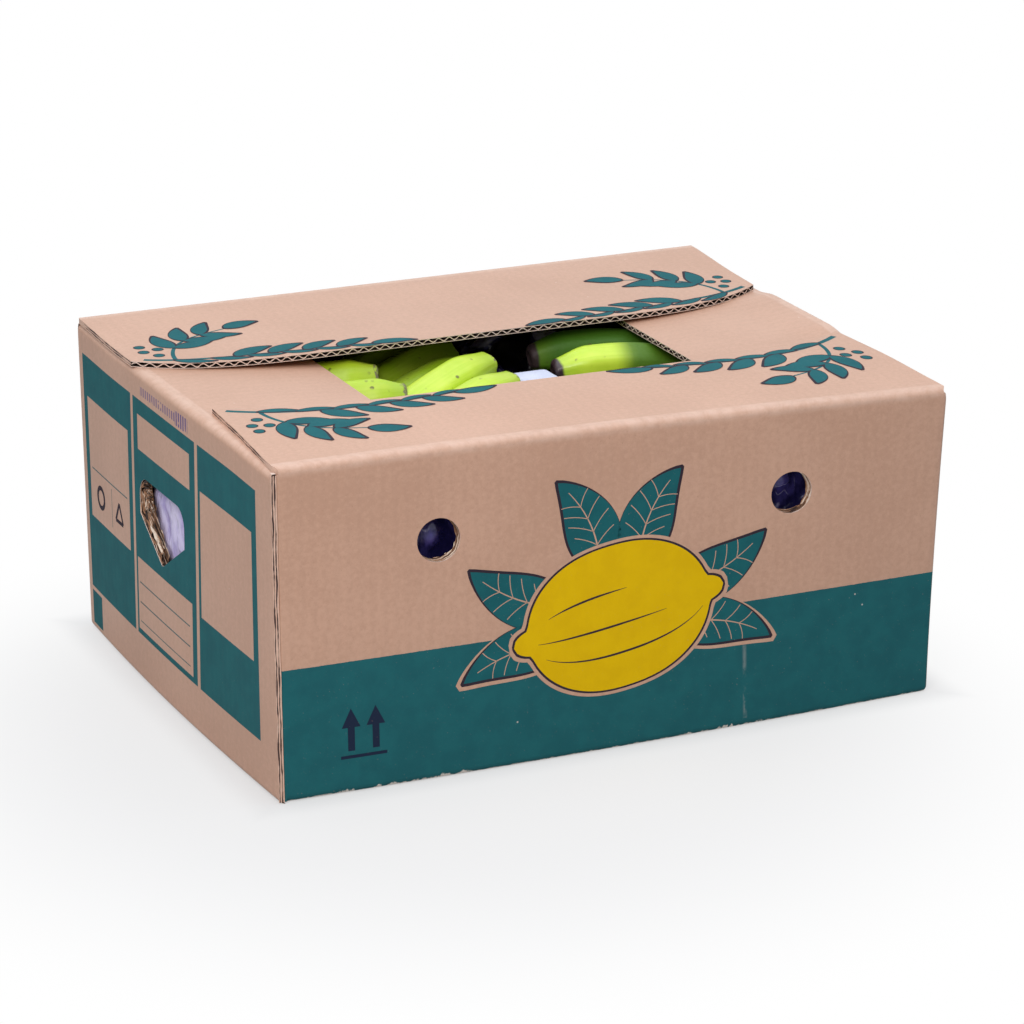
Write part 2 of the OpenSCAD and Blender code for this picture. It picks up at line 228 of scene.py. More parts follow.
class Graph:
    """Adds shader nodes to a tree and wires them. An input is a socket or a plain value."""

    def __init__(self, tree):
        self.tree = tree

    def node(self, kind, inputs=None, **settings):
        """A new node with its settings made and its inputs filled."""
        made = self.tree.nodes.new(kind)
        for key, value in settings.items():
            setattr(made, key, value)
        for key, value in (inputs or {}).items():
            self.put(made.inputs[key], value)
        return made

    def put(self, socket, value):
        """Wires a socket to another one, or gives it a plain value."""
        if isinstance(value, bpy.types.NodeSocket):
            self.tree.links.new(value, socket)
        else:
            socket.default_value = value

    def math(self, operation, *values, clamp=False):
        """One step of arithmetic."""
        made = self.node("ShaderNodeMath", dict(enumerate(values)), operation=operation, use_clamp=clamp)
        return made.outputs[0]

    def plus(self, a, b, clamp=False):
        """Sum of two values, kept within 0 and 1 if asked."""
        return self.math("ADD", a, b, clamp=clamp)

    def minus(self, a, b):
        """First value less the second."""
        return self.math("SUBTRACT", a, b)

    def mul(self, *values):
        """Product of all values."""
        out = values[0]
        for v in values[1:]:
            out = self.math("MULTIPLY", out, v)
        return out

    def top(self, *values):
        """Greatest of all values."""
        out = values[0]
        for v in values[1:]:
            out = self.math("MAXIMUM", out, v)
        return out

    def off(self, value, middle):
        """Distance of a value from a middle, without its sign."""
        return self.math("ABSOLUTE", self.minus(value, middle))

    def span(self, value, a, b, c=0.0, d=1.0):
        """Value eased from c at a to d at b."""
        inputs = {0: value, 1: a, 2: b, 3: c, 4: d}
        return self.node("ShaderNodeMapRange", inputs, interpolation_type="SMOOTHSTEP").outputs[0]

    def mix(self, share, a, b, kind="MIX"):
        """Colour a mixed with colour b by a share."""
        inputs = {0: share, 6: a, 7: b}
        return self.node("ShaderNodeMix", inputs, data_type="RGBA", blend_type=kind).outputs[2]

    def noise(self, vector, scale, detail=3.0, rough=0.55):
        """Cloudy values from 0 to 1."""
        inputs = {"Vector": vector, "Scale": scale, "Detail": detail, "Roughness": rough}
        return self.node("ShaderNodeTexNoise", inputs).outputs["Fac"]

    def spots(self, vector, scale):
        """Distance from the nearest of many scattered points."""
        return self.node("ShaderNodeTexVoronoi", {"Vector": vector, "Scale": scale}).outputs["Distance"]

    def scale(self, vector, factor):
        """Vector scaled axis by axis."""
        return self.node("ShaderNodeVectorMath", {0: vector, 1: factor}, operation="MULTIPLY").outputs[0]

    def vector(self, **axes):
        """Vector from values for some of its axes."""
        return self.node("ShaderNodeCombineXYZ", axes).outputs[0]

    def attribute(self, name):
        """Outputs of a mesh attribute."""
        return self.node("ShaderNodeAttribute", attribute_name=name).outputs

    def split(self, vector):
        """The three parts of a vector."""
        return self.node("ShaderNodeSeparateXYZ", {0: vector}).outputs

    def boxes(self, u, v, *corners):
        """1 inside any of some rectangles, given as first and last u and first and last v, and 0 outside."""
        inside = []
        for u0, u1, v0, v1 in corners:
            beside = self.minus(self.off(u, (u0 + u1) / 2), (u1 - u0) / 2)
            below = self.minus(self.off(v, (v0 + v1) / 2), (v1 - v0) / 2)
            inside.append(self.math("LESS_THAN", self.top(beside, below), 0.0))
        return self.top(*inside)


def group(name, inputs, outputs, fill):
    """A shader node group. fill gets the graph and the inputs, and returns the outputs by name."""
    tree = bpy.data.node_groups.new(name, "ShaderNodeTree")
    for key, kind in inputs.items():
        tree.interface.new_socket(key, in_out="INPUT", socket_type=kind)
    for key, kind in outputs.items():
        tree.interface.new_socket(key, in_out="OUTPUT", socket_type=kind)
    g = Graph(tree)
    start, end = g.node("NodeGroupInput"), g.node("NodeGroupOutput")
    for key, value in fill(g, start.outputs).items():
        g.put(end.inputs[key], value)
    return tree


def use(g, tree, **inputs):
    """Outputs of a group node with its inputs wired."""
    made = g.tree.nodes.new("ShaderNodeGroup")
    made.node_tree = tree
    for key, value in inputs.items():
        g.put(made.inputs[key], value)
    return made.outputs


def material(name, fill, **constants):
    """A Principled material. fill gets the graph and returns varying inputs by name, Height among them,
    which goes through a bump node."""
    m = bpy.data.materials.new(name)
    m.use_nodes = True
    g = Graph(m.node_tree)
    shader = m.node_tree.nodes["Principled BSDF"]
    for key, value in constants.items():
        shader.inputs[key.replace("_", " ")].default_value = value
    wired = fill(g)
    height, depth = wired.pop("Height", None), wired.pop("depth", BUMP_DEPTH)
    if height is not None:
        bump = g.node("ShaderNodeBump", {"Strength": BUMP_STRENGTH, "Distance": depth, "Height": height})
        wired["Normal"] = bump.outputs[0]
    for key, value in wired.items():
        g.put(shader.inputs[key], value)
    return m


# Colours of the board: its paper outside and inside, paper paled by wear and a painted highlight, cut fibres,
# a core painted dark as the shade inside the flutes, painted shade in the gaps of crushed ends, and torn
# layers
KRAFT_LOW, KRAFT_HIGH = rgb(188, 146, 121), rgb(200, 158, 133)
KRAFT_WEAR_AND_HIGHLIGHT, KRAFT_INSIDE = rgb(226, 196, 178), rgb(170, 128, 100)
FLECK = rgb(150, 108, 80)
FIBRE_LOW, FIBRE_HIGH = rgb(198, 168, 150), rgb(236, 216, 204)
CORE_SHADE_LOW, CORE_SHADE_HIGH = rgb(44, 30, 24), rgb(76, 54, 40)
GAP_SHADE = rgb(56, 32, 30)
TORN_DARK, TORN_TAN, TORN_CREAM = rgb(44, 28, 22), rgb(160, 116, 84), rgb(238, 220, 200)
# Colours of the prints, and of the paper under them
TEAL, TEAL_DEEP = rgb(19, 97, 103), rgb(15, 90, 97)
YELLOW, YELLOW_DEEP = rgb(226, 186, 0), rgb(221, 180, 0)
INK_DARK, INK_MARK, INK_TICK = rgb(46, 40, 52), rgb(20, 38, 62), rgb(52, 10, 112)
PAPER = rgb(232, 222, 212)
# Colours of the fruit: skin, its deep green that is partly greener skin and partly painted shade, its ends,
# dots and rubs, scars at the tips, and the crown's cut
SKIN_LOW, SKIN_HIGH, SKIN_GREEN_SHADE = rgb(184, 219, 30), rgb(212, 234, 76), rgb(56, 100, 2)
SKIN_END, SKIN_DOT, SKIN_RUB = rgb(128, 162, 40), rgb(70, 54, 24), rgb(112, 98, 44)
SCAR_PALE, SCAR_DARK, CROWN_CUT = rgb(118, 108, 88), rgb(50, 34, 38), rgb(122, 96, 62)
# Colours of the film: dark violet over the shaded fruit, painted highlight streaks, black painted shade and
# pale painted light; and of the foam
FILM_LOW, FILM_HIGH = rgb(22, 20, 60), rgb(70, 64, 134)
FILM_HIGHLIGHT, FILM_SHADE = rgb(190, 186, 222), rgb(7, 6, 11)
FILM_LIT_LOW, FILM_LIT_HIGH = rgb(176, 162, 224), rgb(226, 218, 252)
FOAM_LOW, FOAM_HIGH = rgb(204, 209, 230), rgb(222, 226, 242)
# Bump of every surface: its strength, and its usual depth in metres
BUMP_STRENGTH, BUMP_DEPTH = 0.6, 0.0004
VECTOR, FLOAT, COLOR = "NodeSocketVector", "NodeSocketFloat", "NodeSocketColor"

# Rectangles on the walls' prints: first and last place along the wall, first and last place below its top
PANELS = (10, 110, 23, 194), (114.5, 232, 23, 194), (237, 338, 23, 194)
LABELS = (17.5, 102.5, 52, 139), (123, 222, 34, 59), (117.5, 224, 138, 190), (241, 330, 54, 142)
RULES = ((22, 98, 102, 103), (63.6, 64.4, 106, 134), (121, 219, 155, 156), (121, 219, 169.5, 170.5),
         (121, 219, 183.5, 184.3))
FOOT_MARK = 10, 32, 197, 222
TICK_ROWS = (129, 196, 13, 19), (196, 220, 11, 21)
FRAYED = (40, 135, 150, 240), (290, 352, 150, 240)
SCRATCHED = 320, 350, 140, 222
# Top of the long walls' band, half the pitch of the ticks, and where the bottom edge's torn paper starts
BAND_TOP = 137.6
TICK = 2.1
TORN_FOOT = 226.2


def fill_tone(g, i):
    """Kraft paper: faint clouds, grain, flecks, and bands over the flutes painted as light and shade on their
    ridges.
    """
    rest, flute = i["Rest"], i["Flute"]
    cloud, grain = g.noise(rest, 0.012, 2.0), g.noise(rest, 0.36, 4.0, 0.7)
    fleck = g.span(g.noise(rest, 0.85, 2.0), 0.66, 0.74)
    wave = g.math("COSINE", g.mul(flute, 2 * math.pi / FLUTE))
    share = g.plus(g.mul(cloud, 0.4), g.mul(grain, 0.6))
    tone = g.mix(g.span(share, 0.36, 0.66), KRAFT_LOW, KRAFT_HIGH)
    tone = g.mix(g.mul(fleck, 0.28), tone, FLECK)
    # Painted light and shade of the flute ridges: the tone rises and falls by about one percent
    lit = g.plus(1.0, g.mul(wave, 0.012))
    tone = g.mix(1.0, tone, g.node("ShaderNodeCombineColor", {0: lit, 1: lit, 2: lit}).outputs[0], "MULTIPLY")
    return {"Tone": tone, "Height": g.plus(g.mul(wave, 0.07), g.mul(grain, 0.3)), "Grain": grain}


board_tone = group("board_tone", {"Rest": VECTOR, "Flute": FLOAT},
                   {"Tone": COLOR, "Height": FLOAT, "Grain": FLOAT}, fill_tone)


def fill_print(g, i):
    """Fields of ink on the walls: a band on the long walls, three panels with bare labels on the short ones,
    and a row of faded ticks at the top of the left one."""
    u, v, face = g.split(i["Sheet"])
    left = g.math("COMPARE", face, 1.0, 0.2)
    short = g.top(left, g.math("COMPARE", face, 3.0, 0.2))
    band = g.math("GREATER_THAN", v, g.plus(BAND_TOP, g.mul(i["Grain"], 0.8)))
    fields = g.mul(g.boxes(u, v, *PANELS), g.minus(1.0, g.boxes(u, v, *LABELS)))
    fields = g.top(fields, g.boxes(u, v, FOOT_MARK), g.mul(g.boxes(u, v, *RULES), 0.9))
    ink = g.plus(g.mul(fields, short), g.mul(band, g.minus(1.0, short)))
    tick = g.span(g.math("PINGPONG", u, TICK), 0.85, 1.15)
    heavy = g.span(u, 185.0, 200.0, 0.75, 1.0)
    faded = g.span(g.noise(i["Sheet"], 0.16, 2.0), 0.3, 0.4)
    return {"Ink": ink, "Ticks": g.mul(g.boxes(u, v, *TICK_ROWS), left, tick, heavy, faded)}


wall_print = group("wall_print", {"Sheet": VECTOR, "Grain": FLOAT}, {"Ink": FLOAT, "Ticks": FLOAT},
                   fill_print)


def fill_wear_and_highlight(g, i):
    """Where the board is rubbed: paper torn along the front's bottom edge, a faint scratch and specks, and
    paler paper along the folds, partly worn fibres and partly a painted highlight where the folds round over."""
    u, v, face = g.split(i["Sheet"])
    front = g.math("LESS_THAN", face, 0.5)
    ragged = g.minus(g.noise(g.scale(i["Sheet"], (1.0, 0.4, 0.0)), 0.12, 5.0, 0.7), 0.5)
    place = g.top(g.boxes(u, v, *FRAYED), 0.35)
    edge = g.span(g.plus(v, g.mul(ragged, 16.0, place)), TORN_FOOT, TORN_FOOT + 1)
    line = g.off(u, g.plus(334.0, g.mul(g.minus(v, 170.0), 0.03)))
    scratch = g.mul(g.span(line, 2.2, 0.2), g.boxes(u, v, SCRATCHED), g.span(ragged, -0.06, 0.1), 0.16)
    speck = g.span(g.spots(i["Sheet"], 0.05), 0.04, 0.02)
    speck = g.mul(speck, g.span(g.noise(i["Sheet"], 0.02, 1.0), 0.55, 0.62))
    # Paler along the fold arcs: partly worn fibres, partly a painted highlight on the folds' round
    fold = g.span(g.math("ABSOLUTE", v), 8.5, 4.0)
    fold = g.mul(fold, g.span(g.noise(i["Sheet"], 0.09, 4.0, 0.7), 0.35, 0.62, 0.35, 1.0))
    torn = g.plus(g.mul(g.top(edge, scratch), front), g.mul(speck, 0.6), clamp=True)
    return {"Torn": torn, "FoldWearAndHighlight": fold}


print_wear_and_highlight = group("print_wear_and_highlight", {"Sheet": VECTOR}, {"Torn": FLOAT, "FoldWearAndHighlight": FLOAT}, fill_wear_and_highlight)


def fill_ink(g, i):
    """Thin ink over board: denser and thinner patches, and pinholes where the board shows."""
    cloud, grain = g.noise(i["Rest"], 0.05, 4.0, 0.65), g.noise(i["Rest"], 0.75, 3.0, 0.7)
    hole = g.span(grain, 0.66, 0.76)
    return {"Share": g.minus(0.985, g.mul(hole, 0.35)), "Cloud": g.span(cloud, 0.35, 0.65)}


ink_cover = group("ink_cover", {"Rest": VECTOR}, {"Share": FLOAT, "Cloud": FLOAT}, fill_ink)


def board_shading(g):
    """The rest place, and the outputs of the kraft paper there."""
    rest = g.attribute("rest")["Vector"]
    return rest, use(g, board_tone, Rest=rest, Flute=g.attribute("flute")["Fac"])


def printed_board(g):
    """The outside of the carton: kraft paper, printed and worn, paler along the folds from wear and a painted
    highlight. Bare board has a soft sheen.
    """
    rest, tone = board_shading(g)
    sheet = g.attribute("sheet")["Vector"]
    printed = use(g, wall_print, Sheet=sheet, Grain=tone["Grain"])
    wear = use(g, print_wear_and_highlight, Sheet=sheet)
    cover = use(g, ink_cover, Rest=rest)
    ink = g.mul(printed["Ink"], cover["Share"])
    # Folds paled by wear and by a painted highlight
    color = g.mix(g.mul(wear["FoldWearAndHighlight"], 0.4), tone["Tone"], KRAFT_WEAR_AND_HIGHLIGHT)
    color = g.mix(ink, color, g.mix(cover["Cloud"], TEAL_DEEP, TEAL))
    color = g.mix(printed["Ticks"], color, INK_TICK)
    color = g.mix(wear["Torn"], color, PAPER)
    return {"Base Color": color, "Height": tone["Height"], "Coat Weight": g.minus(1.0, ink)}


def plain_board(g):
    """The inside of the carton: kraft paper, a little browner."""
    tone = board_shading(g)[1]
    return {"Base Color": g.mix(0.25, tone["Tone"], KRAFT_INSIDE), "Height": tone["Height"]}


def raw_board(g):
    """Cut facings: pale fibres."""
    fuzz = g.noise(g.attribute("rest")["Vector"], 1.6, 3.0, 0.7)
    color = g.mix(g.span(fuzz, 0.3, 0.6), FIBRE_LOW, FIBRE_HIGH)
    return {"Base Color": color, "Height": fuzz}


def shaded_core_board(g):
    """The wave sheet and the insides of the facings, painted much darker than the outside as the shade in the
    flutes.
    """
    rest, tone = board_shading(g)
    # Dark brown paints the shade inside the hollow flutes
    color = g.mix(g.noise(rest, 0.5, 3.0), CORE_SHADE_LOW, CORE_SHADE_HIGH)
    return {"Base Color": color, "Height": tone["Grain"]}


def crushed_board(g):
    """Cut ends pressed shut: pale board with two thin, broken gaps painted dark as shade, that close towards
    the fold.
    """
    sheet = g.attribute("sheet")["Vector"]
    place, depth, open_end = g.split(sheet)
    shade = g.mix(g.noise(sheet, 0.35, 3.0), KRAFT_HIGH, KRAFT_WEAR_AND_HIGHLIGHT)
    gaps = []
    for middle, shift in ((1.0, 0.0), (2.7, 40.0)):
        lane = g.vector(X=g.plus(place, shift))
        drift = g.minus(g.noise(lane, 0.06, 2.0), 0.5)
        half = g.span(g.noise(lane, 0.045, 3.0), 0.38, 0.62, 0.15, 0.75)
        beside = g.off(depth, g.plus(middle, g.mul(drift, 1.6)))
        gaps.append(g.span(g.math("DIVIDE", beside, half), 1.0, 0.5))
    gap = g.mul(g.top(*gaps), g.top(g.span(place, 10.0, 34.0), open_end))
    # The gaps' dark colour is painted shade
    return {"Base Color": g.mix(gap, shade, GAP_SHADE), "Height": g.minus(1.0, gap), "depth": 0.001}


def torn_board(g):
    """Torn layers in stripes of dark, tan and cream along the tear."""
    sheet = g.attribute("sheet")["Vector"]
    layer = g.noise(g.scale(sheet, (0.36, 0.035, 1.7)), 1.0, 4.0, 0.65)
    color = g.mix(g.span(layer, 0.43, 0.5), TORN_DARK, TORN_TAN)
    return {"Base Color": g.mix(g.span(layer, 0.54, 0.59), color, TORN_CREAM), "Height": layer}


def ink_material(name, thin, dense):
    """A thin ink that lets some board through, in two tones."""

    def shade(g):
        rest, tone = board_shading(g)
        cover = use(g, ink_cover, Rest=rest)
        color = g.mix(cover["Share"], tone["Tone"], g.mix(cover["Cloud"], dense, thin))
        return {"Base Color": color, "Height": tone["Height"]}

    return material(name, shade, Roughness=0.6, Specular_IOR_Level=0.06)


def bare_ink(g):
    """Board left bare within a print."""
    tone = board_shading(g)[1]
    return {"Base Color": tone["Tone"], "Height": tone["Height"]}


SATIN = {"Roughness": 0.65, "Specular_IOR_Level": 0.1, "Coat_Roughness": 0.5, "Coat_IOR": 1.6}
BOARD_MATERIALS = [
    material("printed_board", printed_board, **SATIN),
    material("raw_edge", raw_board, Roughness=0.85),
    material("plain_board", plain_board, Roughness=0.65, Specular_IOR_Level=0.25),
    material("board_core_shade", shaded_core_board, Roughness=0.9),
    material("crushed_board", crushed_board, Roughness=0.8),
    material("torn_board", torn_board, Roughness=0.85),
]
OUTER, RAW, INNER, CORE, CRUSHED, TORN = range(len(BOARD_MATERIALS))
INKS = {
    "teal": ink_material("ink_teal", TEAL, TEAL_DEEP),
    "dark": ink_material("ink_dark", INK_DARK, INK_DARK),
    "mark": ink_material("ink_mark", INK_MARK, INK_MARK),
    "yellow": ink_material("ink_yellow", YELLOW, YELLOW_DEEP),
    "bare": material("ink_bare", bare_ink, Coat_Weight=1.0, **SATIN),
}


# Carton walls

QUARTER = math.pi / 2 * CORNER
FRONT_X = -W / 2 + BOARD + JOINT
LEG = [W - CORNER - BOARD - JOINT, QUARTER, D - 2 * CORNER, QUARTER, W - 2 * CORNER, QUARTER, D - CORNER]
LEG_START = np.concatenate([[0], np.cumsum(LEG)])
LEG_FROM = np.array([(FRONT_X, -D / 2), (W / 2 - CORNER, -D / 2 + CORNER), (W / 2, -D / 2 + CORNER),
                     (W / 2 - CORNER, D / 2 - CORNER), (W / 2 - CORNER, D / 2),
                     (-W / 2 + CORNER, D / 2 - CORNER), (-W / 2, D / 2 - CORNER)])
AROUND = LEG_START[-1]


def wall_points(s, z, depth=0.0):
    """Points round the walls, front first: straight legs joined by quarter circles, at a distance s along
    them, a height z and a depth inside the outer face."""
    s, z, depth = np.broadcast_arrays(np.asarray(s, float), z, depth)
    plan, out = follow(LEG_START, LEG_FROM, CORNER, s)
    return np.concatenate([plan - depth[..., None] * out, z[..., None]], -1)


def wall_sheet(s, z):
    """Place on a wall's print: distance from the wall's left end, distance below the top, and the wall:
    0 front, 1 left, 2 back, 3 right."""
    s, z = np.broadcast_arrays(np.asarray(s, float), z)
    k = leg_at(LEG_START, s)
    later = (k % 2 == 1) & (s - LEG_START[k] > QUARTER / 2)
    side = np.where(k % 2 == 0, k // 2, k // 2 + later)
    begin = np.array([FRONT_X + W / 2, CORNER, CORNER, CORNER])
    u = s - LEG_START[2 * side] + begin[side]
    face = np.array([0, 3, 2, 1])[side]
    return np.stack([u, H - z, face.astype(float)], -1)


# Places of the rings between a hole's gap in the wall grid and its outline
RING_SHARES = 0.4, 0.75, 0.93, 1.0


def panel(us, vs, holes):
    """Flat grid in u and v with holes: the cells round each hole are taken out, and rings pass from the
    border of that gap to the hole's outline. Returns points, faces and the outlines' point numbers."""
    grid = np.stack(np.meshgrid(us, vs, indexing="ij"), -1)
    index = np.arange(len(us) * len(vs)).reshape(len(us), len(vs))
    keep = np.ones((len(us) - 1, len(vs) - 1), bool)
    points, faces, outlines, count = [grid.reshape(-1, 2)], [], [], index.size
    for (u0, u1, v0, v1), outline in holes:
        i0, i1 = np.searchsorted(us, u0) - 1, np.searchsorted(us, u1)
        j0, j1 = np.searchsorted(vs, v0) - 1, np.searchsorted(vs, v1)
        keep[i0:i1, j0:j1] = False
        border = np.concatenate([index[i0:i1, j0], index[i1, j0:j1], index[i1:i0:-1, j1],
                                 index[i0, j1:j0:-1]])
        outer = points[0][border]
        inner, last = outline(outer), border
        for share in RING_SHARES:
            ring = count + np.arange(len(border))
            count += len(border)
            points.append(outer * (1 - share) + inner * share)
            faces.append(np.stack([last, np.roll(last, -1), np.roll(ring, -1), ring], -1))
            last = ring
        outlines.append(last)
    a, b, c, d = index[:-1, :-1], index[1:, :-1], index[1:, 1:], index[:-1, 1:]
    faces.append(np.stack([a[keep], b[keep], c[keep], d[keep]], -1))
    return np.concatenate(points), np.concatenate(faces), outlines


def round_hole(middle, radius):
    """Outline of a round hole: each border point drawn in to the radius."""

    def outline(border):
        away = border - middle
        return middle + radius * away / np.linalg.norm(away, axis=1, keepdims=True)

    return outline


def grip_hole(middle):
    """Outline of a hand hole: a flat top with round corners, straight sides and a point below, read by
    the angle round its middle."""
    half, r, top, side, point = 43.0, 14.0, 23.0, -4.0, -30.0
    arc = np.linspace(0, math.pi / 2, 12)
    corner = np.stack([half - r + r * np.cos(arc), top - r + r * np.sin(arc)], -1)
    low_side = np.linspace([0, point], [half, side], 30)
    right = np.concatenate([low_side, np.linspace([half, side], [half, top - r], 8)[1:], corner[1:],
                            np.linspace([half - r, top], [0, top], 14)[1:]])
    loop = np.concatenate([right, right[-2:0:-1] * [-1, 1]])
    angle = np.arctan2(loop[:, 1], loop[:, 0])
    order = np.argsort(angle)
    reach = np.linalg.norm(loop, axis=1)[order]

    def outline(border):
        away = border - middle
        a = np.arctan2(away[:, 1], away[:, 0])
        r_at = np.interp(a, angle[order], reach, period=2 * math.pi)
        return middle + r_at[:, None] * np.stack([np.cos(a), np.sin(a)], -1)

    return outline


# Middles of the air holes and hand holes, the air holes' radius, and the gaps in the wall grid round both
VENT_X, VENT_Z, VENT_R = 126.5, 164.0, 15.0
GRIP_Y, GRIP_Z = 14.0, 128.0
VENT_GAP = 23.0
GRIP_GAP_SIDE, GRIP_GAP_LOW, GRIP_GAP_HIGH = 54.0, 42.0, 35.0


def carton_shell():
    """The carton's walls with their holes, rounded bottom edges, crushed joint edge, corner posts and bottom
    flaps, as outer and inner sheets with cut rims."""
    b = Build()
    lines, cell, corner_steps = [], 5, 6
    for k, length in enumerate(LEG):
        steps = corner_steps if k % 2 else int(math.ceil(length / cell))
        lines.append(LEG_START[k] + np.linspace(0, length, steps + 1)[:-1])
    us = np.concatenate([*lines, [AROUND]])
    vs = np.linspace(SOLE, STRIP_Z, 42)
    vents = [(x - FRONT_X, VENT_Z) for x in (-VENT_X, VENT_X)]
    vents += [(LEG_START[4] + W / 2 - CORNER - x, VENT_Z) for x in (-VENT_X, VENT_X)]
    right_grip = LEG_START[2] + GRIP_Y + D / 2 - CORNER
    left_grip = LEG_START[6] + D / 2 - CORNER - GRIP_Y
    grips = [(right_grip, GRIP_Z), (left_grip, GRIP_Z)]
    holes = []
    for s, z in vents:
        gap = s - VENT_GAP, s + VENT_GAP, z - VENT_GAP, z + VENT_GAP
        holes.append((gap, round_hole(np.array([s, z]), VENT_R)))
    for s, z in grips:
        gap = s - GRIP_GAP_SIDE, s + GRIP_GAP_SIDE, z - GRIP_GAP_LOW, z + GRIP_GAP_HIGH
        holes.append((gap, grip_hole(np.array([s, z]))))
    flat, faces, outlines = panel(us, vs, holes)
    s, z = flat[:, 0], flat[:, 1]
    for depth, mat in ((0.0, OUTER), (BOARD, INNER)):
        rest = wall_points(s, z, depth)
        b.add(warp(rest), faces if mat == OUTER else faces[:, ::-1], mat, rest=rest, flute=s + FRONT_X,
              sheet=wall_sheet(s, z))
    # Cut rims of the hand holes, the core lying back unevenly between the two facings
    for middle, outline in zip(grips, outlines[len(vents):]):
        edge = flat[outline]
        away = edge - middle
        away /= np.linalg.norm(away, axis=1, keepdims=True)
        back = 0.7 + 0.5 * np.sin(edge[:, 0] * 2 * math.pi / FLUTE)
        place = edge[None] + away[None] * (RIM_BACK[:, None] * back[None])[..., None]
        rest = wall_points(place[..., 0], place[..., 1], RIM_DEPTH[:, None])
        b.rim(rest, closed=True, flute=place[..., 0])
    # Punched rims of the air holes: a pale lip, then layers torn inwards to uneven depths
    for n, (middle, outline) in enumerate(zip(vents, outlines)):
        edge = flat[outline] - middle
        angle = np.arctan2(edge[:, 1], edge[:, 0])
        tear = BOARD + 2.4 + 1.1 * np.sin(3 * angle + n) + 0.9 * np.sin(11 * angle + 2 * n)
        tear += 0.5 * np.sin(23 * angle)
        rough = 0.3 * np.sin(7 * angle + n) + 0.2 * np.sin(17 * angle + 2 * n)
        for first, last, rows, mat in ((0.0, 0.12, 2, RAW), (0.12, 1.0, 7, TORN)):
            share = np.linspace(first, last, rows)[:, None]
            radius = VENT_R + rough[None] * np.sin(math.pi * share) - 0.6 * share**2
            place = np.array(middle) + radius[..., None] * np.stack([np.cos(angle), np.sin(angle)], -1)[None]
            rest = wall_points(place[..., 0], place[..., 1], share * tear[None])
            sheet = np.stack(np.broadcast_arrays(1.6 * share * tear[None], VENT_R * angle[None], 5.0 * n), -1)
            b.board(rest, mat, closed=True, flute=place[..., 0], sheet=sheet)
    # Rounded bottom edge
    turn = np.linspace(0, math.pi / 2, 7)[:, None]
    rest = wall_points(us[None], SOLE * (1 - np.sin(turn)), SOLE * (1 - np.cos(turn)))
    b.board(rest, OUTER, flip=True, flute=us[None] + FRONT_X, sheet=wall_sheet(us[None], rest[..., 2]))
    # Crushed edge of the left wall at the glued joint, and the front wall's bend beside it
    zs, deep = np.linspace(1.0, POST_Z - 1, 90)[:, None], np.linspace(0, BOARD, 5)[None]
    wander = 0.2 * np.sin(zs / 17.0) + 0.15 * np.sin(zs / 5.3 + 1)
    b.board(wall_points(AROUND - wander, zs, deep), CRUSHED, flute=zs + 0 * deep,
            sheet=np.stack(np.broadcast_arrays(zs, deep, 1.0), -1))
    turn = np.linspace(0, math.pi / 2, 6)[None]
    x, y = FRONT_X - JOINT * np.sin(turn), -D / 2 + JOINT * (1 - np.cos(turn))
    bend = np.stack(np.broadcast_arrays(x, y, zs), -1)
    sheet = np.stack(np.broadcast_arrays(x + W / 2, H - zs, 0.0), -1)
    b.board(bend, OUTER, flip=True, flute=bend[..., 0], sheet=sheet)
    # Corner posts between the folded top strips, drawn in towards their tops
    levels = np.array([STRIP_Z, 211, 216, 220, 223, POST_Z])[:, None]
    draw = np.array([0, 0, 0, 0.1, 0.5, 1.2])[:, None]
    thin = BOARD - draw * 0.3
    last_post = AROUND - CORNER - 0.4, AROUND
    for s0, s1 in (LEG_START[1:3], LEG_START[3:5], LEG_START[5:7], last_post):
        across = np.linspace(s0, s1, 8)[None]
        for depth, mat in ((draw, OUTER), (thin, INNER)):
            rest = wall_points(across, levels, depth)
            b.board(rest, mat, flip=mat == OUTER, flute=across + FRONT_X, sheet=wall_sheet(across, levels))
        rest = wall_points(across, POST_Z, np.stack([draw[-1], thin[-1]]))
        b.board(rest, RAW, flute=across)
    # Outer bottom flaps, and the strip of the inner ones that shows in the seam between them
    seam, strip = 0.75, 6.0
    for y0, y1, height in ((-D / 2 + SOLE, -seam, 0.0), (seam, D / 2 - SOLE, 0.0), (-strip, strip, BOARD)):
        xs, ys = np.linspace(-W / 2 + SOLE, W / 2 - SOLE, 40), np.linspace(y0, y1, 16)
        gx, gy = np.meshgrid(xs, ys)
        b.board(np.stack([gx, gy, gx * 0 + height], -1), INNER, flip=True, flute=gx)
    return b.make("carton_shell", BOARD_MATERIALS)


# Top flaps


# Free edges: half length and power of their bow. Flutes stay open from a little past the fold
BOW_HALF, BOW_POWER = 235.0, 5.5
HOLLOW = FOLD + 12


